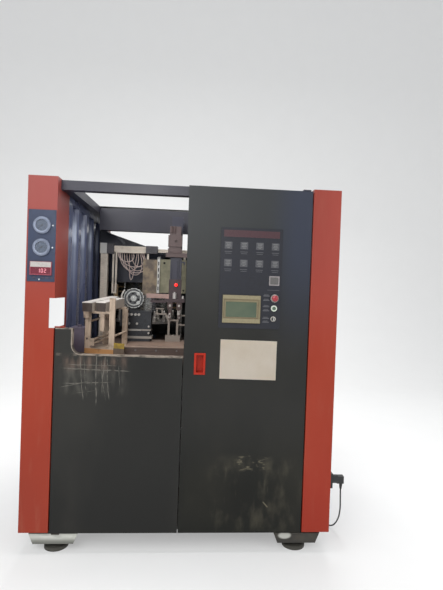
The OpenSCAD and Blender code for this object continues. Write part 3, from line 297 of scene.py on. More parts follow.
def moulded(name, colour, rough, fine=700, coat=0.0, grime=0.15, specular=0.5):
    """Moulded plastic or rubber with a spark-eroded grain and handling marks."""
    p = Paint(name)
    grain = p.noise(fine, 2)
    cloud = p.noise(30, 4)
    tone = p.shade(colour, cloud.ramp(0.3, 0.75, 1.06, 1 - grime))
    return p.finish(colour=tone, rough=cloud.mid(rough - 0.06, rough + 0.08),
                    normal=p.bump(grain, 0.08, 0.0003), coat=coat, specular=specular)


DOOR = srgb(35, 35, 33)


def post_paint():
    """Red-orange coat of the posts: paler high up with painted haze, deeper low on the right, dusty and a
    little chipped.
    """
    p = Paint("post_orange")
    cloud = p.noise(1.9, 5, (1, 1, 0.45))
    streaks = p.noise(7, 4, (6, 6, 0.7))
    chips = p.cells(26, (1, 1, 0.6)).falls(0.045, 0.075) * p.noise(5, 3).ramp(0.56, 0.66)
    low = p.z.falls(0.1, 0.9)
    high = p.z.ramp(1.0, 1.9)
    # Painted haze: paler and pinker towards the top of the posts, less so on the right post.
    tone = p.blend(high * 0.8, srgb(142, 44, 20), srgb(142, 68, 64))
    right = p.x.ramp(-0.2, 0.2)
    tone = tone.coat(right * high * 0.6, 146, 52, 34)
    tone = tone.coat(right * low * 0.8, 140, 30, 2)
    tone = p.shade(tone, cloud.wide(0.88, 1.1))
    dust = (streaks.ramp(0.5, 0.8) * 0.26 + cloud.ramp(0.5, 0.8) * 0.2) * (low * 0.5 + 0.4)
    tone = tone.coat(dust * (1 - right * low * 0.7), 152, 96, 78)
    tone = tone.coat(chips * 0.7, 92, 60, 52)
    return p.finish(colour=tone, specular=0.35, rough=cloud.mid(0.36, 0.5) + dust * 0.3,
                    normal=p.peel(850))


def line_mask(p, a, b, width, fade):
    """Thin line between two points of the front face, given as (x, z) in metres."""
    (x0, z0), (x1, z1) = a, b
    length = math.hypot(x1 - x0, z1 - z0)
    ux, uz = (x1 - x0) / length, (z1 - z0) / length
    along = (p.x - x0) * ux + (p.z - z0) * uz
    off = abs((p.x - x0) * uz - (p.z - z0) * ux)
    return off.falls(width * 0.15, width * 1.25) * along.between(0.0, length, fade)


def any_of(masks):
    """The strongest of several masks."""
    return reduce(Wire.at_least, masks)


SCRATCHES = [
    ((-0.592, 0.964), (-0.300, 0.953), 0.0042), ((-0.560, 0.985), (-0.345, 0.978), 0.0026),
    ((-0.588, 0.884), (-0.385, 0.897), 0.0040), ((-0.600, 0.868), (-0.505, 0.893), 0.0028),
    ((-0.524, 1.010), (-0.510, 0.820), 0.0034), ((-0.505, 1.004), (-0.492, 0.842), 0.0022),
    ((-0.446, 1.022), (-0.440, 0.802), 0.0044), ((-0.402, 1.012), (-0.410, 0.862), 0.0036),
    ((-0.390, 1.000), (-0.376, 0.830), 0.0036), ((-0.420, 0.990), (-0.396, 0.826), 0.0024),
    ((-0.335, 0.990), (-0.322, 0.900), 0.0020), ((-0.540, 0.835), (-0.470, 0.846), 0.0018)]


DOOR_FRONT = -0.7435


def door_face(p):
    """1 on the front face of a door, 0 on its folds and back."""
    return p.y.falls(DOOR_FRONT, DOOR_FRONT + 0.0015)


def door_coat(p, tone, cloud, marks, dust):
    """Sprayed coat of a door, duller where it is marked or dusty."""
    rough = cloud.mid(0.36, 0.46) + marks + dust * 0.4
    return p.finish(colour=tone, specular=0.25, rough=rough, normal=p.peel(900))


# Worn patch under the left door's window, and the window's edge: sill, rounded corner, raised tab
WORN_X, WORN_Z = (-0.575, -0.33), (0.86, 1.0)
SILL, RUBBED_SILL = (1.0312, 1.0365), (1.028, 1.04)
CORNER_X, CORNER_Z, CORNER_R = -0.524, 1.082, 0.0485
TAB_SIDE = (-0.5755, -0.569)
TAB_TOP = (1.1635, 1.169)


def left_door_paint():
    """Anthracite coat with chalky criss-cross scratches below the window, and a rubbed sill."""
    p = Paint("left_door_anthracite")
    cloud = p.noise(2.1, 5, (1, 1, 0.5))
    breakup = p.noise(46, 4).ramp(0.28, 0.66)
    wander = (p.noise(9, 3) - 0.5) * 0.02
    straight_x, straight_z = p.x, p.z
    p.x, p.z = p.x + wander, p.z + wander
    marks = any_of([line_mask(p, a, b, width * 0.75, 0.035) for a, b, width in SCRATCHES])
    p.x, p.z = straight_x, straight_z
    patch = p.x.between(*WORN_X, 0.07) * p.z.between(*WORN_Z, 0.05)
    haze = patch * p.noise(20, 5, (1.4, 1, 0.5)).ramp(0.36, 0.78) * 0.3
    front = door_face(p)
    marks = (marks * breakup * 0.62 + haze) * front
    sill = p.z.between(*RUBBED_SILL, 0.002) * p.noise(16, 4).ramp(0.36, 0.6) * 0.55
    cx, cz = p.x - CORNER_X, p.z - CORNER_Z
    ring = abs((cx * cx + cz * cz) ** 0.5 - CORNER_R).falls(0.0015, 0.003)
    edge = ring * (p.x < CORNER_X) * (p.z < CORNER_Z)
    edge = edge.at_least(p.z.between(*SILL, 0.001) * (p.x > CORNER_X))
    edge = edge.at_least(p.x.between(*TAB_SIDE, 0.001) * (p.z > CORNER_Z))
    edge = edge.at_least(p.z.between(*TAB_TOP, 0.001) * (p.x < TAB_SIDE[1]))
    sill = sill.at_least(edge * p.noise(24, 4).ramp(0.32, 0.55) * 0.85)
    low = p.z.falls(0.1, 0.6)
    dust = cloud.ramp(0.45, 0.8) * (low * 0.2 + 0.08)
    tone = p.shade(DOOR, cloud.wide(0.86, 1.1))
    # Painted shade: darker towards the bottom of the door.
    tone = tone.coat(p.z.ramp(0.15, 0.75, 0.8, 0.0), 24, 24, 22)
    tone = tone.coat(dust, 92, 88, 80)
    tone = tone.coat(haze * p.z.ramp(0.93, 1.0) * front * 1.6, 112, 78, 62)
    tone = tone.coat(sill, 150, 138, 126)
    tone = tone.coat(marks.at_most(1.0), 118, 114, 106)
    return door_coat(p, tone, cloud, marks * 0.3, dust)


SCUFF_X, SCUFF_Z = (0.33, 0.43), (0.46, 0.50)
STAIN_X, STAIN_Z = (0.22, 0.60), (0.16, 0.46)
DRIP_X, DRIP_Z = (0.22, 0.62), (0.11, 0.44)
RUB = ((0.452, 0.27), (0.470, 0.25))


def right_door_paint():
    """Same coat on the tall door, lighter and bluer near the top with painted haze, darker low down with
    painted shade, and with scuffs and a brown stain low down.
    """
    p = Paint("right_door_anthracite")
    cloud = p.noise(2.0, 5, (1, 1, 0.5))
    low = p.z.falls(0.1, 0.75)
    tone = p.shade(DOOR, cloud.wide(0.86, 1.1))
    # Painted haze lightens the top and turns the upper right bluer; painted shade darkens the lower part.
    tone = tone.coat(p.z.ramp(1.1, 1.85), 52, 54, 55)
    tone = tone.coat(p.z.falls(0.3, 0.8), 14, 15, 10)
    tone = tone.coat(p.x.ramp(0.40, 0.60) * p.z.ramp(0.95, 1.7) * 0.75, 50, 55, 70)
    scuff = (p.x.between(*SCUFF_X, 0.06) * p.z.between(*SCUFF_Z, 0.03)
             * p.noise(48, 5, (0.6, 1, 1.6)).ramp(0.54, 0.7)) * 0.4
    smear = (p.x.between(*STAIN_X, 0.1) * p.z.between(*STAIN_Z, 0.08)
             * p.noise(9, 5, (1.3, 1, 0.7)).ramp(0.48, 0.78)) * 0.14
    drips = (p.x.between(*DRIP_X, 0.06) * p.z.between(*DRIP_Z, 0.08)
             * p.noise(24, 3, (1.6, 1, 0.3)).ramp(0.6, 0.78)) * 0.08
    rubs = line_mask(p, *RUB, 0.004, 0.01) * 0.45
    front = door_face(p)
    marks = (scuff + smear + drips + rubs).at_most(1.0) * front
    dust = cloud.ramp(0.45, 0.8) * (low * 0.22 + 0.06)
    tone = tone.coat(dust, 84, 80, 68)
    tone = tone.coat(marks, 140, 132, 110)
    return door_coat(p, tone, cloud, marks * 0.25, dust)


LEG_TOP = 0.098
LEG_INNER_X = -0.50
SPOT_X, SPOT_Z = 0.575, 0.088


def base_paint():
    """Dark frame paint, with a pale dusty leg box on the left and a scuffed one on the right, and painted
    shade along the floor.
    """
    p = Paint("base_dark")
    cloud = p.noise(9, 5)
    left = p.x.falls(LEG_INNER_X, LEG_INNER_X + 0.02) * p.z.falls(LEG_TOP, LEG_TOP + 0.003)
    pale = p.blend(cloud.ramp(0.35, 0.7), srgb(186, 187, 178), srgb(206, 206, 198))
    smear = p.noise(22, 5, (0.5, 1, 1.8)).ramp(0.40, 0.62) * 0.35
    # The pale leg goes darker towards its bottom edge, with smears over it.
    pale = p.blend(smear.at_least(p.z.ramp(0.060, 0.085, 0.75, 0.0)), pale, srgb(104, 106, 98))
    dark = p.blend(cloud.ramp(0.4, 0.75), srgb(40, 38, 34), srgb(66, 62, 54))
    spot_x, spot_z = (p.x - SPOT_X) / 0.036, (p.z - SPOT_Z) / 0.020
    spot = ((spot_x * spot_x + spot_z * spot_z) + (cloud - 0.5) * 1.4).falls(0.5, 1.4)
    spot = spot * p.y.falls(-0.728, -0.72)
    # Painted shade along the bottom of the frame, next to the floor.
    under = p.z.falls(0.046, 0.07) * 0.5
    tone = p.blend(left, dark, pale)
    tone = tone.coat(spot * 0.85, 190, 190, 182)
    return p.finish(colour=p.blend(under, tone, srgb(44, 42, 38)),
                    rough=cloud.mid(0.5, 0.68), normal=p.bump(p.noise(240, 3), 0.15, 0.0008))


BEAM_FRONT = -0.5492
BED_SEAMS = (1.030, 1.0445)


def bed_paint():
    """Red-brown primer on the table with oil marks, its top painted lighter than its front, and a painted
    highlight along the beam's front edge.
    """
    p = Paint("bed_primer")
    grain = p.noise(60, 4, (0.25, 1, 1))
    oil = p.noise(11, 5)
    # Painted light: the top faces lighter than the front faces.
    top = p.z.ramp(1.05, 1.056)
    tone = p.blend(top, srgb(82, 66, 58), srgb(124, 102, 88))
    tone = p.shade(tone, grain.wide(0.8, 1.15))
    tone = tone.coat(oil.ramp(0.55, 0.75) * 0.5, 48, 40, 36)
    for z in BED_SEAMS:
        tone = tone.coat(p.z.between(z, z + 0.0012, 0.0006) * 0.6, 40, 33, 30)
    # Painted highlight along the beam's front top edge.
    edge = p.y.falls(BEAM_FRONT, BEAM_FRONT + 0.0022) * p.z.ramp(1.0515, 1.0555)
    tone = tone.coat(edge * 0.6, 178, 158, 142)
    return p.worn(tone, grain, (0.42, 0.6), (0.2, 0.0008))


INFEED_X, INFEED_Y = -0.536, -0.590
INFEED_TURN = math.radians(17)
RAIL_SLOPE = math.tan(math.radians(5.2))
RAIL_TOP = 1.299


def infeed_axes(p):
    """Distances across and along the infeed unit, which stands turned on the bed."""
    turn = INFEED_TURN
    dx, dy = p.x - INFEED_X, p.y - INFEED_Y
    return dx * math.cos(turn) - dy * math.sin(turn), dx * math.sin(turn) + dy * math.cos(turn)


BRACKET_ALONG, BRACKET_DEPTH, BRACKET_Z = (0.1522, 0.215), (0.029, 0.0385), (1.052, 1.081)


def stand_paint():
    """Milled bars of the infeed stand, its base plate orange along the front, and a yellow bracket."""
    p = Paint("infeed_bars")
    mill = p.noise(70, 4, (1, 1, 0.12))
    stain = p.noise(20, 5)
    along, depth = infeed_axes(p)
    plate_front = depth.falls(0.0302, 0.0310) * p.z.falls(1.0425, 1.0435)
    bracket = along.between(*BRACKET_ALONG, 0.0005) * depth.between(*BRACKET_DEPTH, 0.0005)
    bracket = bracket * p.z.between(*BRACKET_Z, 0.001)
    foot = along.between(0.1500, BRACKET_ALONG[1], 0.0005) * p.z.falls(1.0515, 1.0522)
    tone = p.shade(srgb(190, 170, 150), mill.wide(0.82, 1.1))
    tone = tone.coat(plate_front * 0.85, 184, 130, 74)
    tone = tone.coat(bracket, 168, 140, 58)
    tone = tone.coat(foot * 0.85, 84, 70, 60)
    tone = tone.coat(stain.ramp(0.5, 0.72) * 0.6, 84, 72, 64)
    return p.worn(tone, mill, (0.34, 0.5), (0.15, 0.0005), metal=0.2)


def rail_paint():
    """Rail tops painted bright where light falls from above, sides duller, and the front ends painted dark
    with shade.
    """
    p = Paint("rail_bright")
    drawn = p.noise(40, 4, (1, 20, 1))
    spots = p.noise(22, 5)
    along, depth = infeed_axes(p)
    end = (depth - along.ramp(0.030, 0.040, 0.0, 0.022)).falls(0.0055, 0.0062)
    # Painted light: bright rail tops lit from above, duller sides below them.
    fall = p.z - RAIL_TOP - depth * RAIL_SLOPE
    below = fall.falls(-0.0045, -0.0035)
    tone = p.blend(below, srgb(236, 230, 222), srgb(178, 166, 154))
    tone = p.shade(tone, drawn.wide(0.85, 1.08))
    # Painted shade on the rails' front ends.
    tone = tone.coat(end * below * 0.9, 50, 40, 38)
    tone = tone.coat(spots.ramp(0.55, 0.74) * 0.4, 110, 98, 90)
    return p.finish(colour=tone, metal=0.25, rough=drawn.ramp(0.2, 0.8, 0.26, 0.44),
                    normal=p.bump(drawn, 0.12, 0.0004))


LOADER_PLATES = ((1.0742, 1.0885), (1.1225, 1.1315))
LOADER_PINS_Y = -0.3090
WHEEL_RINGS_Y = -0.3290


def loader_paint():
    """Dark cast block with its pale plates and the bright pins and hoop that stand out in front."""
    p = Paint("loader_castings")
    cast = p.noise(160, 4)
    oil = p.noise(16, 5)
    lower, upper = (p.z.between(*plate, 0.0004) for plate in LOADER_PLATES)
    pale = lower.at_least(upper)
    pins = p.y.falls(LOADER_PINS_Y, LOADER_PINS_Y + 0.0008)
    tone = p.shade(srgb(52, 54, 58), cast.wide(0.75, 1.25))
    tone = tone.coat(oil.ramp(0.5, 0.75) * 0.6, 34, 30, 30)
    tone = tone.coat(pale, 158, 152, 144)
    tone = tone.coat(pins, 176, 172, 166)
    return p.worn(tone, cast, (0.34, 0.5), (0.15, 0.0006), metal=0.3)


def wheel_paint():
    """Polished wheel with bright rings and lugs standing over recesses darkened with painted shade."""
    p = Paint("loader_wheel_steel")
    lathe = p.noise(60, 3)
    # Painted shade: the recesses behind the rings dark and dull.
    recess = p.y.ramp(WHEEL_RINGS_Y, WHEEL_RINGS_Y + 0.0014)
    tone = p.shade(srgb(204, 204, 200), lathe.wide(0.86, 1.08))
    tone = tone.coat(recess * 0.92, 46, 48, 54)
    return p.finish(colour=tone, metal=0.8 - recess * 0.5, rough=0.2 + recess * 0.25,
                    normal=p.bump(lathe, 0.05, 0.0004))


BRIDGE_BEAM_Z = (1.6185, 1.6935)
CORNER_PLATE_X, JOINT_X = (-0.6165, -0.5700), (-0.5696, -0.5215)
BLOCK_X, BLOCK_Z = (-0.2985, -0.2155), (1.6295, 1.6835)


def bridge_paint():
    """Slotted profile of the bridge frame, with a pale plate on the corner and dark joint blocks."""
    p = Paint("bridge_profile")
    drawn = p.noise(45, 4, (1, 1, 22))
    stain = p.noise(13, 5)
    beam = p.z.between(*BRIDGE_BEAM_Z, 0.0004)
    corner = p.x.between(*CORNER_PLATE_X, 0.0004) * (p.y < 0.1275) * beam
    joint = p.x.between(*JOINT_X, 0.0004) * beam
    block = p.x.between(*BLOCK_X, 0.0004) * p.z.between(*BLOCK_Z, 0.0004)
    tone = p.shade(srgb(222, 210, 194), drawn.wide(0.82, 1.12))
    tone = tone.coat(stain.ramp(0.5, 0.72) * 0.35, 122, 106, 92)
    tone = tone.coat(joint.at_least(block), 66, 62, 66)
    tone = tone.coat(corner, 206, 204, 198)
    return p.finish(colour=tone, metal=0.15, rough=drawn.ramp(0.2, 0.8, 0.32, 0.5),
                    normal=p.bump(drawn, 0.12, 0.0004))


BOARD_EDGE_X = -0.2147
ROD_Y, ROD_SLOT_Y, ROD_SLOT_X = 0.1196, 0.1042, (-0.2072, -0.1998)


def shield_paint():
    """Tan board, grey-green panel and the pale slotted rod between them, with painted shade in the rod's
    slot.
    """
    p = Paint("shield_board")
    blotch = p.noise(17, 5)
    fine = p.noise(120, 4)
    board = p.blend(blotch.ramp(0.35, 0.65), srgb(166, 148, 122), srgb(114, 102, 92))
    panel = p.blend(blotch.ramp(0.3, 0.7), srgb(134, 132, 108), srgb(162, 156, 130))
    tone = p.blend(p.x.ramp(BOARD_EDGE_X, BOARD_EDGE_X + 0.0004), board, panel)
    rod = p.y.falls(ROD_Y, ROD_Y + 0.0003)
    tone = tone.coat(rod, 226, 224, 218)
    # Painted shade inside the rod's slot.
    slot = rod * p.y.ramp(ROD_SLOT_Y, ROD_SLOT_Y + 0.0008) * p.x.between(*ROD_SLOT_X, 0.0002)
    tone = tone.coat(slot, 40, 38, 38)
    return p.worn(p.shade(tone, fine.wide(0.9, 1.08)), fine, (0.5, 0.7), (0.1, 0.0005))


HOOD_STREAK = ((-0.552, 1.788), (-0.482, 1.716))


def hood_paint():
    """Dark blue paint of the oven hood, with the pale streak where its slope catches the light."""
    p = Paint("hood_blue")
    cloud = p.noise(6, 4)
    rub = p.noise(40, 4)
    streak = line_mask(p, *HOOD_STREAK, 0.011, 0.02) * rub.ramp(0.3, 0.6, 0.5, 1.0)
    tone = p.shade(srgb(42, 44, 60), cloud.wide(0.85, 1.15))
    tone = tone.coat(streak * 0.7, 132, 136, 148)
    return p.finish(colour=tone, specular=0.4, rough=rub.mid(0.32, 0.46),
                    normal=p.peel(700))


KEY_Y = -0.7590
FINGER_TIP_Z, FINGER_PINS_Y = 1.260, -0.3006


def key_paint():
    """Key barrel: dark face with a bright key standing in it."""
    p = Paint("key_metal")
    fine = p.noise(300, 3)
    key = p.y.falls(KEY_Y, KEY_Y + 0.001)
    tone = p.blend(key, srgb(44, 44, 48), srgb(176, 176, 172))
    return p.finish(colour=p.shade(tone, fine.mid(0.9, 1.08)), metal=key * 0.6,
                    rough=fine.mid(0.3, 0.42))


def finger_paint():
    """Gripper fingers: dark reddish oiled steel with a wiped bright edge on the lower parts."""
    p = Paint("finger_steel")
    cast = p.noise(130, 4)
    rub = p.noise(34, 4)
    bright = p.z.falls(FINGER_TIP_Z, FINGER_TIP_Z + 0.002) * rub.ramp(0.45, 0.6)
    pins = p.y.falls(FINGER_PINS_Y, FINGER_PINS_Y + 0.0006)
    tone = p.shade(srgb(82, 66, 64), cast.wide(0.75, 1.2))
    tone = tone.coat((bright * 0.8).at_least(pins), 184, 178, 170)
    return p.worn(tone, cast, (0.32, 0.48), (0.12, 0.0005), metal=0.35)


RIB_STARTS = [-0.449 + 0.206 * i for i in range(4)]
RIB_W = 0.146


def side_paint():
    """Blue-black gloss of the ribbed side panels, with painted highlights inside, high on the ribs."""
    p = Paint("side_panel_paint")
    cloud = p.noise(3, 4, (1, 1, 0.4))
    ribs = any_of([p.y.between(y + 0.014, y + RIB_W - 0.014, 0.008) for y in RIB_STARTS])
    outer = -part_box("left_side_panel")[0].x
    inside = abs(p.x).falls(outer - 0.0010, outer - 0.0006)
    # Painted highlight: light streaks on the inner faces of the ribs, high up.
    glow = (p.z.between(1.67, 1.73, 0.06) * 0.6 + p.z.ramp(1.2, 1.65) * 0.3) * ribs * inside
    glow = glow * p.z.falls(1.78, 1.83)
    tone = p.shade(srgb(92, 99, 128), cloud.wide(0.84, 1.12))
    tone = tone.coat(glow, 214, 222, 240)
    return p.finish(colour=tone, specular=0.7, coat=0.3, rough=cloud.mid(0.2, 0.3),
                    normal=p.peel(500, 0.03))


ARM_Z, ARM_LEFT_X = (1.3258, 1.3532), -0.1056
BIG_X, SMALL_X, CYLINDERS_Y, CYLINDERS_Z = -0.071, -0.019, -0.291, (1.3264, 1.372)


def arm_paint():
    """Oiled dark castings of the transfer unit, their pinkish anodised arm and two pale cylinders."""
    p = Paint("transfer_castings")
    cast = p.noise(160, 4)
    arm = p.z.between(*ARM_Z, 0.0004) * p.x.falls(ARM_LEFT_X, ARM_LEFT_X + 0.0006)
    big_x, small_x, off_y = p.x - BIG_X, p.x - SMALL_X, p.y - CYLINDERS_Y
    big = (big_x * big_x + off_y * off_y) < 0.0125 ** 2
    small = (small_x * small_x + off_y * off_y) < 0.0075 ** 2
    cylinders = big.at_least(small) * p.z.between(*CYLINDERS_Z, 0.0004)
    tone = p.shade(srgb(70, 56, 58), cast.wide(0.75, 1.2))
    tone = tone.coat(arm, 164, 136, 128)
    tone = tone.coat(cylinders, 190, 186, 182)
    return p.worn(tone, cast, (0.34, 0.52), (0.2, 0.0006), metal=0.25)


def lamp_glass(name, colour, power):
    """Lit plastic, a little uneven."""
    p = Paint(name)
    glow = p.noise(120, 2)
    return p.finish(colour=colour, rough=0.15, emit=p.shade(colour, glow.ramp(0.2, 0.8, 0.8, 1.1)),
                    emit_power=power)


def gauge_glass():
    """Clear cover with faint smears."""
    p = Paint("gauge_glass")
    smear = p.noise(25, 3)
    return p.finish(colour=(0.5, 0.55, 0.62), rough=smear.mid(0.03, 0.09), alpha=0.06, specular=0.7)


def lead_jacket():
    """Matt dark jacket of the lead."""
    p = Paint("lead_pvc")
    grain = p.noise(400, 3)
    tone = p.shade(srgb(34, 34, 35), grain.mid(0.85, 1.2))
    return p.worn(tone, grain, (0.42, 0.55), (0.05, 0.0003))


FOLD_Z = 1.03


def notice_paper():
    """Bare printer paper, yellowed unevenly, with a soft fold."""
    p = Paint("notice_paper")
    fibre = p.noise(450, 3)
    cloud = p.noise(6, 3)
    fold = (p.z - FOLD_Z).ramp(-0.002, 0.002)
    tone = p.shade(p.blend(cloud.ramp(0.3, 0.7), srgb(232, 218, 198), srgb(240, 228, 212)),
                   fibre.mid(0.97, 1.02))
    return p.finish(colour=tone, rough=0.85, normal=p.bump(fibre + fold * 0.4, 0.12, 0.0004))


def lcd_screen():
    """Unlit liquid-crystal screen, grey-green with a slight cloud."""
    p = Paint("lcd_screen")
    cloud = p.noise(14, 3)
    tone = p.blend(cloud.ramp(0.3, 0.7), srgb(70, 83, 68), srgb(82, 92, 74))
    return p.finish(colour=tone, rough=0.22, coat=0.4)


def flat_print(name, colour, rough=0.4):
    """Printed film, rubbed a little darker in places."""
    p = Paint(name)
    rub = p.noise(120, 4)
    return p.finish(colour=p.shade(colour, rub.ramp(0.35, 0.75, 1.05, 0.88)),
                    rough=rub.mid(rough - 0.05, rough + 0.1))


# Finish of every node
BLACK_PLASTIC = moulded("fascia_black", srgb(40, 41, 47), 0.38, 600, specular=0.3)
# The gauge plate's blue cast is painted haze over black plastic.
GAUGE_PLASTIC = moulded("gauge_plate_black", srgb(53, 62, 84), 0.36, 600, specular=0.35)
STEEL = bare_metal("rail_steel", srgb(196, 190, 182), 0.3, (1, 20, 1), 0.3, 0.7)
GROUND = bare_metal("ground_steel", srgb(140, 142, 144), 0.32, (1, 12, 1), 0.3, 0.9)
ALUMINIUM = bare_metal("profile_aluminium", srgb(196, 186, 172), 0.38, (1, 1, 22), 0.2, 0.35)
MOULD_ALU = bare_metal("mould_aluminium", srgb(208, 208, 208), 0.24, (1, 14, 1), 0.15, 0.95)
MACHINE_BLUE = powder_coat("machine_blue", srgb(74, 96, 118), 0.4, 0.2)
PLUG_BLACK = moulded("plug_black", srgb(36, 36, 37), 0.48, 500)
SHARED = (
    (post_paint(), ("front_left_post", "front_right_post", "rear_posts")),
    (side_paint(), ("left_side_panel", "right_side_panel")),
    (powder_coat("panel_anthracite", DOOR, 0.42), ("rear_panel", "roof_panel")),
    (finger_paint(), ("gripper_left", "gripper_right")),
    (STEEL, ("preform_turret", "switch_blocks")),
    (GROUND, ("left_platen", "right_platen", "stretch_carriage")),
    (MOULD_ALU, ("left_mould", "right_mould")),
    (ALUMINIUM, ("clamp_cylinders", "nozzle_block")),
    (MACHINE_BLUE, ("clamp_frame", "stretch_portal", "turret_drive", "air_tank")),
    (PLUG_BLACK, ("lead_plug", "mains_plug", "side_socket", "lead", "lead_coil")))
MATERIALS = {
    **{name: finish for finish, names in SHARED for name in names},
    "base_frame": base_paint(),
    "left_front_door": left_door_paint(),
    "right_front_door": right_door_paint(),
    "process_bed": bed_paint(),
    "infeed_stand": stand_paint(),
    "transfer_carriage": arm_paint(),
    "upper_frame": powder_coat("frame_paint", srgb(38, 37, 50), 0.4),
    "levelling_feet": moulded("foot_rubber", srgb(70, 68, 62), 0.7, 200),
    "hmi_panel": moulded("hmi_beige", srgb(118, 109, 84), 0.42, 500, specular=0.35),
    "estop_button": moulded("button_red", srgb(150, 42, 50), 0.3, 500, 0.3),
    "start_button": moulded("button_green", srgb(84, 104, 84), 0.3, 500, 0.3),
    "key_switch": key_paint(),
    "pickup_stand": bare_metal("pickup_steel", srgb(148, 138, 128), 0.38, (1, 1, 22), 0.5, 0.35),
    "control_plate": BLACK_PLASTIC,
    "gauge_plate": GAUGE_PLASTIC,
    "door_pull": moulded("pull_red", srgb(160, 34, 12), 0.4, 500, 0.0, 0.15, 0.3),
    "pressure_gauges": bare_metal("gauge_ring", srgb(122, 130, 148), 0.34, (1, 1, 1), 0.1, 0.4),
    "upper_needle": moulded("needle_black", srgb(24, 24, 26), 0.5),
    "lower_needle": moulded("needle_lacquer", srgb(26, 24, 26), 0.5),
    "temperature_display": moulded("display_red", srgb(140, 62, 74), 0.3, 500, 0.3),
    "junction_box": moulded("box_grey", srgb(98, 90, 104), 0.5, 300),
    "switchgear": moulded("switchgear_grey", srgb(170, 172, 168), 0.5, 300),
    "loader_block": loader_paint(),
    "loader_wheel": wheel_paint(),
    "bridge_frame": bridge_paint(),
    "transfer_column": powder_coat("guide_blue", srgb(44, 44, 62), 0.34, 0.1),
    "oven_hood": hood_paint(),
    "infeed_rails": rail_paint(),
    "transfer_motor": powder_coat("motor_brown", srgb(98, 80, 78), 0.46, 0.2),
    "hose_bundle": moulded("hose_clear", srgb(234, 214, 206), 0.3, 300, 0.3),
    "oven_housing": bare_metal("reflector_steel", srgb(176, 176, 172), 0.24, (1, 1, 10), 0.3, 0.95),
    "oven_lamps": moulded("lamp_quartz", srgb(220, 190, 150), 0.2, 300, 0.5),
    "heat_shield": shield_paint(),
}
for name, node_object in nodes.items():
    node_object.data.materials.clear()
    node_object.data.materials.append(MATERIALS[name])

# The lead as one smooth cord
points = lead_points()
lead = curve_tube("mains_lead", points, LEAD_D / 2, lead_jacket())
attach(lead, "root")
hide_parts("lead", "lead_coil")


# Piece making
def keep(name, mesh, material, body):
    """A finished mesh as a piece that rides on a body."""
    made = put(name, mesh)
    mesh.materials.clear()
    mesh.materials.append(material)
    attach(made, body)
    return made


def keep_faces(name, bm, material, body, slot):
    """The faces built so far as a piece, all turned the same way out."""
    bmesh.ops.recalc_face_normals(bm, faces=bm.faces)
    mesh = bpy.data.meshes.new(name)
    bm.to_mesh(mesh)
    bm.free()
    return keep(name, mesh, material, body)


def skin(bm, rings):
    """Faces between rings of vertices; a ring of one vertex is a tip."""
    for a, b in zip(rings, rings[1:]):
        steps = max(len(a), len(b))
        for i in range(steps):
            j = (i + 1) % steps
            if len(a) == 1:
                bm.faces.new((a[0], b[i], b[j]))
            elif len(b) == 1:
                bm.faces.new((a[i], a[j], b[0]))
            else:
                bm.faces.new((a[i], a[j], b[j], b[i]))


def add_plate(bm, x0, x1, z0, z1, y0, y1, corner=0.0, soft=0.0):
    """Upright plate between y0 (front) and y1, with round corners and a softened front edge."""
    outline = []
    steps = 5 if corner else 1
    for cx, cz, start in ((x1 - corner, z1 - corner, 0), (x0 + corner, z1 - corner, 90),
                          (x0 + corner, z0 + corner, 180), (x1 - corner, z0 + corner, 270)):
        for i in range(steps):
            a = math.radians(start + 90 * i / max(1, steps - 1))
            outline.append((cx + corner * math.cos(a), cz + corner * math.sin(a)))
    mx, mz = (x0 + x1) / 2, (z0 + z1) / 2
    depths = ((y1, 0), (y0 + soft, 0), (y0, soft)) if soft else ((y1, 0), (y0, 0))
    rings = []
    for y, inset in depths:
        kx, kz = 1 - 2 * inset / (x1 - x0), 1 - 2 * inset / (z1 - z0)
        rings.append([bm.verts.new((mx + (x - mx) * kx, y, mz + (z - mz) * kz)) for x, z in outline])
    skin(bm, rings)
    bm.faces.new(rings[0])
    bm.faces.new(list(reversed(rings[-1])))


def plates(name, boxes, material, body, slot, corner=0.0, soft=0.0):
    """One piece of upright plates, each given as x0, x1, z0, z1, y0, y1."""
    bm = bmesh.new()
    for b in boxes:
        add_plate(bm, *b, corner=corner, soft=soft)
    return keep_faces(name, bm, material, body, slot)


def add_turned(bm, profile, centre, steps):
    """Turned form that faces the operator: (radius, height) pairs about an axis through centre."""
    axis = Vector((0, -1, 0))
    side = axis.orthogonal().normalized()
    other = axis.cross(side)
    rings = []
    for r, h in profile:
        if r < 1e-6:
            rings.append([bm.verts.new(Vector(centre) + axis * h)])
        else:
            middle = Vector(centre) + axis * h
            turns = (2 * math.pi * i / steps for i in range(steps))
            rings.append([bm.verts.new(middle + (side * math.cos(t) + other * math.sin(t)) * r)
                          for t in turns])
    skin(bm, rings)


def turned(name, profile, centres, material, body, slot, steps=32):
    """One piece with the same turned form at each centre."""
    bm = bmesh.new()
    for centre in centres:
        add_turned(bm, profile, centre, steps)
    return keep_faces(name, bm, material, body, slot)


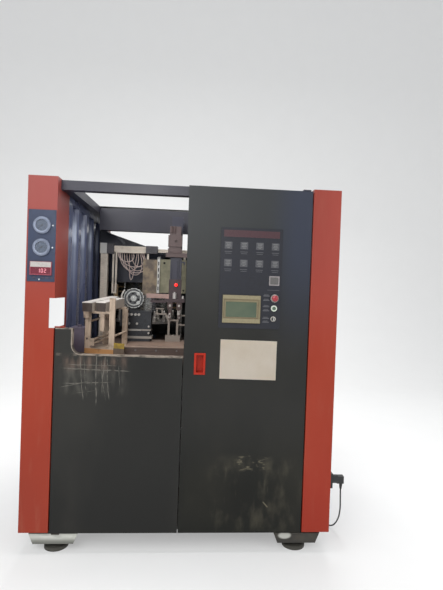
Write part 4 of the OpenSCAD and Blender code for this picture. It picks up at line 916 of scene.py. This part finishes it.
# Screws repeated by Geometry Nodes
def screw_tree():
    """Socket-head screws on the points of a mesh, standing along each point's own direction."""
    tree = bpy.data.node_groups.new("screw_heads", "GeometryNodeTree")
    tree.interface.new_socket("Geometry", in_out="INPUT", socket_type="NodeSocketGeometry")
    tree.interface.new_socket("Geometry", in_out="OUTPUT", socket_type="NodeSocketGeometry")
    for label, kind in (("Head Radius", "NodeSocketFloat"), ("Head Height", "NodeSocketFloat"),
                        ("Finish", "NodeSocketMaterial")):
        tree.interface.new_socket(label, in_out="INPUT", socket_type=kind)
    inside = add_node(tree, "NodeGroupInput").outputs
    radius, height = inside["Head Radius"], inside["Head Height"]

    def times(a, b):
        return add_node(tree, "ShaderNodeMath", {"operation": "MULTIPLY"}, {0: a, 1: b}).outputs[0]

    def add(kind, settings=(), **values):
        return add_node(tree, kind, settings, values).outputs[0]

    head = add("GeometryNodeMeshCylinder", Vertices=14, Radius=radius, Depth=height)
    hexagon = add("GeometryNodeMeshCylinder", Vertices=6, Radius=times(radius, 0.55), Depth=height)
    lift = add("ShaderNodeCombineXYZ", Z=times(height, 0.6))
    raised = add("GeometryNodeTransform", Geometry=hexagon, Translation=lift)
    cut = add_node(tree, "GeometryNodeMeshBoolean", {"operation": "DIFFERENCE"}, {0: head, 1: raised})
    direction = add("GeometryNodeInputNamedAttribute", {"data_type": "FLOAT_VECTOR"}, Name="stand")
    turn = add("FunctionNodeAlignRotationToVector", {"axis": "Z"}, Vector=direction)
    placed = add("GeometryNodeInstanceOnPoints", Points=inside["Geometry"],
                 Instance=cut.outputs["Mesh"], Rotation=turn)
    real = add("GeometryNodeRealizeInstances", Geometry=placed)
    painted = add("GeometryNodeSetMaterial", Geometry=real, Material=inside["Finish"])
    add_node(tree, "NodeGroupOutput", values={0: painted})
    return tree


SCREWS = screw_tree()


def screws(name, places, body, slot, finish, radius, height):
    """One piece of screw heads of one size, at pairs of a place and the way it faces."""
    inputs = {"Head Radius": radius, "Head Height": height, "Finish": finish}
    mesh = bpy.data.meshes.new(name + "_points")
    mesh.from_pydata([p for p, _ in places], [], [])
    attribute = mesh.attributes.new("stand", "FLOAT_VECTOR", "POINT")
    attribute.data.foreach_set("vector", [c for _, d in places for c in d])
    holder = put(name + "_points", mesh)
    modifier = holder.modifiers.new("repeat", "NODES")
    modifier.node_group = SCREWS
    for item in SCREWS.interface.items_tree:
        if item.in_out == "INPUT" and item.name in inputs:
            modifier[item.identifier] = inputs[item.name]
    holder.update_tag()
    bpy.context.view_layer.update()
    graph = bpy.context.evaluated_depsgraph_get()
    result = bpy.data.meshes.new_from_object(holder.evaluated_get(graph))
    bpy.data.objects.remove(holder)
    result.name = name
    return keep(name, result, finish, body)


# Body and slot of the pieces on each part
ON_PLATE, ON_PANEL = ("right_door", "fascia_black"), ("right_door", "hmi_beige")
ON_GAUGES, ON_DISPLAY = ("root", "gauge_ring"), ("root", "display_red")
ON_SHEETS = ("root", "door_anthracite")

# Control plate
PLATE_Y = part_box("control_plate")[0].y
DOOR_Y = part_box("right_front_door")[0].y
PRINT_T = 0.0005
strip = flat_print("fascia_red", srgb(62, 34, 40))
tile = flat_print("fascia_grey", srgb(70, 70, 74))
tile_bars = flat_print("fascia_bars", srgb(104, 104, 104))
marks_paint = flat_print("fascia_marks", srgb(80, 80, 84))


def printed(x0, x1, z0, z1, layer=0, face=PLATE_Y):
    """Box of a printed area, given by its edges and how many layers lie under it."""
    return (x0, x1, z0, z1, face - (layer + 1) * PRINT_T, face - layer * PRINT_T)


STRIP = (0.192, 0.487, 1.672, 1.708)
plates("fascia_strip", [printed(*STRIP)], strip, *ON_PLATE, 0.002)
TILE_COLUMNS = (0.217, 0.300, 0.383, 0.466)
TILE_ROWS = (1.628, 1.536)
tiles, tile_marks, captions = [], [], []
for row in TILE_ROWS:
    for column in TILE_COLUMNS:
        tiles.append(printed(column - 0.020, column + 0.020, row - 0.019, row + 0.019))
        for i in range(4):
            wide = (0.013, 0.010, 0.013, 0.007)[i]
            high = row + 0.012 - 0.008 * i
            tile_marks.append(printed(column - wide, column + wide, high - 0.0022, high + 0.0018, 1))
        captions.append(printed(column - 0.019, column + 0.019, row - 0.0345, row - 0.0315))
        captions.append(printed(column - 0.016, column + 0.016, row - 0.0435, row - 0.041))
PLATE_LINE = (0.430, 0.494, 1.3985, 1.4005)
SWITCH_CAPTION_Z = (1.370, 1.347, 1.314, 1.292, 1.252, 1.232)
for z in SWITCH_CAPTION_Z:
    captions.append(printed(0.410, 0.444, z - 0.004, z + 0.001))
    captions.append(printed(0.414, 0.438, z + 0.003, z + 0.006))
captions.append(printed(*PLATE_LINE))
plates("fascia_tiles", tiles, tile, *ON_PLATE, 0.003)
plates("fascia_tile_bars", tile_marks, tile_bars, *ON_PLATE)
plates("fascia_captions", captions, marks_paint, *ON_PLATE)
SQUARE, SQUARE_INNER = (0.438, 0.493, 1.424, 1.474), (0.444, 0.487, 1.430, 1.468)
plates("fascia_square", [printed(*SQUARE)],
       flat_print("fascia_pale", srgb(132, 126, 126)), *ON_PLATE, 0.002)
plates("fascia_square_inner", [printed(*SQUARE_INNER, 1)],
       flat_print("fascia_mid_grey", srgb(88, 86, 84)), *ON_PLATE, 0.001)

# Operator panel: rim line, screen and pale bands
HMI_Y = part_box("hmi_panel")[0].y
RIM = ((0.203, 0.385, 1.247, 1.250), (0.203, 0.385, 1.343, 1.346),
       (0.203, 0.206, 1.250, 1.343), (0.382, 0.385, 1.250, 1.343))
SCREEN = (0.2132, 0.3748, 1.2532, 1.3328)
plates("screen_rim", [printed(*edges, face=HMI_Y) for edges in RIM],
       flat_print("rim_brown", srgb(96, 82, 60)), *ON_PANEL)
plates("screen_lcd", [(*SCREEN, HMI_Y + 0.0012, HMI_Y + 0.002)],
       lcd_screen(), *ON_PANEL)
BAND_X, BAND_Z = (0.1975, 0.3945), ((1.3485, 1.3665), (1.2235, 1.2445))
plates("bezel_bands", [(*BAND_X, *z, HMI_Y - 0.0008, HMI_Y) for z in BAND_Z],
       flat_print("bezel_cream", srgb(132, 123, 96)), *ON_PANEL, 0.003)

# Switch collars: pale ring of the start button, dark ring of the stop button
START_RING = [(0.0102, 0.0095), (0.0135, 0.0095), (0.0160, 0.0075), (0.0160, 0.005), (0.0102, 0.005)]
turned("start_ring", START_RING, [(0.468, PLATE_Y, 1.304)],
       moulded("start_collar", srgb(206, 214, 200), 0.32), "right_door", "switch_metal")
ESTOP_COLLAR = [(0.0215, 0.0052), (0.0225, 0.0045), (0.0225, 0.0), (0.0215, 0.0)]
turned("estop_collar", ESTOP_COLLAR, [(0.470, PLATE_Y, 1.357)], BLACK_PLASTIC, *ON_PLATE)


NOTICE = (0.193, 0.492, 0.926, 1.133)


def notice():
    """Bare sheet stuck to the door, bowed a little, with its upper right corner lifted."""
    bm = bmesh.new()
    x0, x1, z0, z1 = NOTICE
    nx, nz = 28, 20
    grid = []
    for j in range(nz + 1):
        row = []
        for i in range(nx + 1):
            u, v = i / nx, j / nz
            lift = 0.0004 + 0.0012 * math.sin(math.pi * u) * (0.4 + 0.6 * v)
            lift += 0.0035 * max(0, u - 0.9) * 10 * max(0, v - 0.85) * 6.6
            place = (x0 + (x1 - x0) * u, DOOR_Y - lift, z0 + (z1 - z0) * v - 0.003 * u)
            row.append(bm.verts.new(place))
        grid.append(row)
    for j in range(nz):
        for i in range(nx):
            bm.faces.new((grid[j][i], grid[j][i + 1], grid[j + 1][i + 1], grid[j + 1][i]))
    bmesh.ops.solidify(bm, geom=bm.faces[:], thickness=0.0002)
    return keep_faces("notice_sheet", bm, notice_paper(), *ON_PLATE)


notice()

# Gauges and display on the left post
GAUGE_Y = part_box("gauge_plate")[0].y
GAUGE_X = -0.733
GAUGE_Z = (1.576, 1.688)
gauge_face = flat_print("gauge_face", srgb(60, 72, 92), 0.45)
ink = flat_print("gauge_ink", srgb(36, 38, 42), 0.5)
FACE_Y = GAUGE_Y - 0.0062
FACE = [(0.0045, 0.0), (0.0045, 0.0004), (0.0285, 0.0004), (0.0285, 0.0)]
turned("gauge_faces", FACE, [(GAUGE_X, FACE_Y, z) for z in GAUGE_Z], gauge_face, *ON_GAUGES)


def gauge_ticks():
    """Ticks of both dials, over 270 degrees, every fifth one longer."""
    bm = bmesh.new()
    for z in GAUGE_Z:
        for i in range(41):
            a = math.radians(225 - 270 * i / 40)
            long = i % 5 == 0
            r0, r1, w = (0.0225, 0.0275, 0.0005) if long else (0.0250, 0.0275, 0.00025)
            d = Vector((math.cos(a), 0, math.sin(a)))
            s = Vector((-math.sin(a), 0, math.cos(a))) * w
            c = Vector((GAUGE_X, FACE_Y - 0.0005, z))
            ring = [bm.verts.new(c + d * r + s * k) for r, k in ((r0, -1), (r1, -1), (r1, 1), (r0, 1))]
            back = [bm.verts.new(v.co + Vector((0, 0.0002, 0))) for v in ring]
            bm.faces.new(ring)
            bm.faces.new(list(reversed(back)))
            for k in range(4):
                bm.faces.new((ring[k], back[k], back[(k + 1) % 4], ring[(k + 1) % 4]))
    return keep_faces("gauge_ticks", bm, ink, *ON_GAUGES)


gauge_ticks()


def numerals(name, size, items, material, body, slot):
    """Plain numbers of one size as thin meshes: pairs of a text and its place."""
    bm = bmesh.new()
    for text, place in items:
        curve = bpy.data.curves.new(name, "FONT")
        curve.body, curve.size, curve.extrude = text, size, 0.0002
        curve.align_x, curve.align_y = "CENTER", "CENTER"
        curve.resolution_u = 3
        holder = put(name, curve)
        bpy.context.view_layer.update()
        graph = bpy.context.evaluated_depsgraph_get()
        mesh = bpy.data.meshes.new_from_object(holder.evaluated_get(graph))
        bpy.data.objects.remove(holder)
        mesh.transform(Matrix.Translation(Vector(place)) @ Matrix.Rotation(math.pi / 2, 4, "X"))
        bm.from_mesh(mesh)
    bmesh.ops.remove_doubles(bm, verts=bm.verts, dist=1e-6)
    return keep_faces(name, bm, material, body, slot)


dial = []
for z in GAUGE_Z:
    for i, text in enumerate(("0", "2", "4", "6", "8", "10")):
        a = math.radians(225 - 270 * i / 5)
        dial.append((text, (GAUGE_X + 0.0185 * math.cos(a), FACE_Y - 0.0005, z + 0.0185 * math.sin(a))))
numerals("gauge_numbers", 0.0052, dial, ink, *ON_GAUGES)
GLASS = [(0.0, 0.0), (0.0297, 0.0), (0.0297, 0.0007), (0.0, 0.0013)]
turned("gauge_glasses", GLASS, [(GAUGE_X, GAUGE_Y - 0.0112, z) for z in GAUGE_Z],
       gauge_glass(), *ON_GAUGES, 48)
LIP = [(0.0296, 0.0085), (0.0302, 0.0128), (0.036, 0.0136), (0.0432, 0.0098), (0.0438, 0.002),
       (0.0430, 0.0), (0.0425, 0.0), (0.0430, 0.008), (0.036, 0.0122), (0.0306, 0.0120)]
turned("gauge_ring_lips", LIP, [(GAUGE_X, GAUGE_Y, z) for z in GAUGE_Z],
       bare_metal("ring_pale", srgb(124, 132, 150), 0.36, (1, 1, 1), 0.1, 0.25), *ON_GAUGES, 64)
PEG = [(0.0, 0.0045), (0.0022, 0.004), (0.0032, 0.0015), (0.0042, 0.001), (0.0042, 0.0), (0.0, 0.0)]
LAMP_PLACES = ((-0.680, 1.688), (-0.680, 1.576), (-0.741, 1.413))
turned("plate_lamps", PEG, [(x, GAUGE_Y, z) for x, z in LAMP_PLACES],
       moulded("lamp_pale", srgb(196, 200, 204), 0.3, 400, 0.3), *ON_GAUGES, 20)

DISPLAY_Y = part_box("temperature_display")[0].y
LABEL, WINDOW = (-0.784, -0.682, 1.476, 1.502), (-0.7805, -0.6855, 1.4415, 1.4735)
plates("display_label", [(*LABEL, DISPLAY_Y - 0.0005, DISPLAY_Y)],
       flat_print("label_pale", srgb(176, 170, 166)), *ON_DISPLAY, 0.002)
plates("display_window", [(*WINDOW, DISPLAY_Y + 0.0012, DISPLAY_Y + 0.002)],
       moulded("window_dark_red", srgb(110, 34, 50), 0.2, 400, 0.5), *ON_DISPLAY)
SEGMENTS = {"0": "abcdef", "1": "bc", "2": "abged"}


def digit_bars(text, x, z, y, high):
    """Boxes of each digit's lit bars, from x and z at the lower left of the first."""
    boxes = []
    wide, t = high * 0.5, high * 0.12
    for k, digit in enumerate(text):
        left = x + k * wide * 1.55
        spots = {"a": (0, wide, high - t, high), "g": (0, wide, (high - t) / 2, (high + t) / 2),
                 "d": (0, wide, 0, t),
                 "f": (0, t, high / 2, high), "b": (wide - t, wide, high / 2, high),
                 "e": (0, t, 0, high / 2), "c": (wide - t, wide, 0, high / 2)}
        for s in SEGMENTS[digit]:
            x0, x1, z0, z1 = spots[s]
            gap = t * 0.1
            boxes.append((left + x0 + gap, left + x1 - gap, z + z0 + gap, z + z1 - gap, y, y + 0.0006))
    return boxes


plates("display_digits", digit_bars("102", -0.747, 1.4475, DISPLAY_Y + 0.0006, 0.0200),
       lamp_glass("digit_glow", srgb(226, 150, 160), 0.6), *ON_DISPLAY)
plates("display_keys", [(-0.776 + 0.022 * i, -0.760 + 0.022 * i, 1.418, 1.426, GAUGE_Y - 0.0025, GAUGE_Y)
                        for i in range(5) if i != 1],
       moulded("key_rubber", srgb(66, 60, 76), 0.6), *ON_DISPLAY, 0.002, 0.0005)

# Transfer unit's red lamp
DOME = [(0.0, 0.013), (0.006, 0.0115), (0.0095, 0.007), (0.0100, 0.0), (0.0, 0.0)]
turned("status_lamp", DOME, [(-0.064, -0.2903, 1.412)],
       lamp_glass("lamp_red", srgb(255, 38, 34), 2.2), "carriage", "button_red")

# Screws, with the way each one faces
FRONT, BACK, UP = (0, -1, 0), (0, 1, 0), (0, 0, 1)
PLATE_SCREW_X, PLATE_SCREW_Z = (0.184, 0.496), (1.201, 1.457, 1.714)
plate_screws = [((x, PLATE_Y - 0.0008, z), FRONT) for x in PLATE_SCREW_X for z in PLATE_SCREW_Z]
screws("control_plate_screws", plate_screws, *ON_PLATE, BLACK_PLASTIC, 0.0032, 0.0016)
GAUGE_SCREW_X, GAUGE_SCREW_Z = (-0.797, -0.670), (1.408, 1.761)
gauge_screws = [((x, GAUGE_Y - 0.0008, z), FRONT) for x in GAUGE_SCREW_X for z in GAUGE_SCREW_Z]
screws("gauge_plate_screws", gauge_screws, "root", "fascia_black", GAUGE_PLASTIC, 0.0030, 0.0016)

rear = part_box("rear_panel")
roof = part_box("roof_panel")
EDGE_SCREW_X = 0.640
rear_places = [(side * EDGE_SCREW_X, 0.16 + 0.25 * i) for side in (-1, 1) for i in range(7)]
rear_places += [(x, z) for x in (-0.4, -0.13, 0.13, 0.4) for z in (0.145, 1.672)]
rear_screws = [((x, rear[1].y - 0.0008, z), BACK) for x, z in rear_places]
screws("rear_panel_screws", rear_screws, *ON_SHEETS, GROUND, 0.006, 0.0032)
roof_screws = [((side * EDGE_SCREW_X, y, roof[1].z - 0.0006), UP) for side in (-1, 1)
               for y in (0.16, 0.30, 0.44, 0.58, 0.71)]
screws("roof_panel_screws", roof_screws, *ON_SHEETS, GROUND, 0.006, 0.0024)

beam_screws = [((-0.27 + 0.115 * i, BEAM_FRONT, 1.0372), FRONT) for i in range(8)]
beam_screws += [((-0.27 + 0.23 * i, -0.535, 1.0562), UP) for i in range(4)]
screws("beam_screws", beam_screws, "root", "rail_steel", GROUND, 0.005, 0.003)

# Floor, backdrop and light
def stage_material(name, colour, seen):
    """Pale surface that keeps the object's shadow, and looks near white to the camera and to gloss."""
    p = Paint(name)
    grain = p.noise(4, 4)
    path = p.node("LightPath", output=None)
    direct = Wire(p, path.outputs["Is Camera Ray"])
    shader = p.node("BsdfPrincipled", values={
        "Base Color": p.shade(colour, grain.mid(0.985, 1.0)), "Roughness": 0.8})
    glow = p.node("Emission", values={"Color": (*seen, 1), "Strength": 1.0})
    gloss = Wire(p, path.outputs["Is Glossy Ray"]) + Wire(p, path.outputs["Is Transmission Ray"])
    factor = (direct + gloss).at_most(1.0) * 0.35
    mixed = p.node("MixShader", values={0: factor, 1: shader, 2: glow})
    p.node("OutputMaterial", values={"Surface": mixed}, output=None)
    return p.material


def make_stage():
    """Floor that bends up into a backdrop."""
    floor_mesh = bpy.data.meshes.new("studio_floor")
    size, back, height, bend = 9.0, 5.0, 7.0, 2.0
    profile = [(-12.0, 0.0), (back - bend, 0.0)]
    for i in range(1, 13):
        a = math.radians(90 * i / 12)
        profile.append((back - bend + bend * math.sin(a), bend - bend * math.cos(a)))
    profile.append((back, height))
    verts = [(x, y, z) for y, z in profile for x in (-size, size)]
    faces = [(2 * i, 2 * i + 1, 2 * i + 3, 2 * i + 2) for i in range(len(profile) - 1)]
    floor_mesh.from_pydata(verts, [], faces)
    for polygon in floor_mesh.polygons:
        polygon.use_smooth = True
    floor_mesh.materials.append(stage_material("studio_pale", (0.78, 0.78, 0.77), (0.95, 0.95, 0.95)))
    put("studio_floor", floor_mesh)


def area_lamp(name, place, target, size, power):
    """Soft rectangular lamp that looks at a target."""
    data = bpy.data.lights.new(name, "AREA")
    data.shape, data.size, data.size_y = "RECTANGLE", size[0], size[1]
    data.energy = power
    lamp = put(name, data)
    lamp.location = place
    lamp.rotation_euler = (Vector(target) - Vector(place)).to_track_quat("-Z", "Y").to_euler()


def make_light():
    """Pale surroundings and five soft lamps."""
    world = bpy.data.worlds.new("studio")
    scene.world = world
    world.use_nodes = True
    background = world.node_tree.nodes["Background"]
    background.inputs["Color"].default_value = (0.93, 0.96, 1.0, 1)
    background.inputs["Strength"].default_value = 0.48
    for lamp in (("key", (-2.6, -4.2, 4.2), (0, -0.4, 0.9), (3.2, 2.4), 100),
                 ("fill", (3.4, -3.6, 2.4), (0, -0.4, 1.0), (3.0, 3.0), 52),
                 ("rear", (0.5, 3.2, 4.6), (0, 0.5, 1.4), (4.0, 2.0), 160),
                 ("top", (0.0, -0.3, 5.2), (0, -0.2, 1.0), (2.4, 2.4), 150),
                 ("front", (-0.6, -3.6, 2.4), (-0.2, 0.0, 1.3), (1.4, 1.0), 30)):
        area_lamp(*lamp)


make_stage()
make_light()
scene.view_settings.view_transform = "Standard"
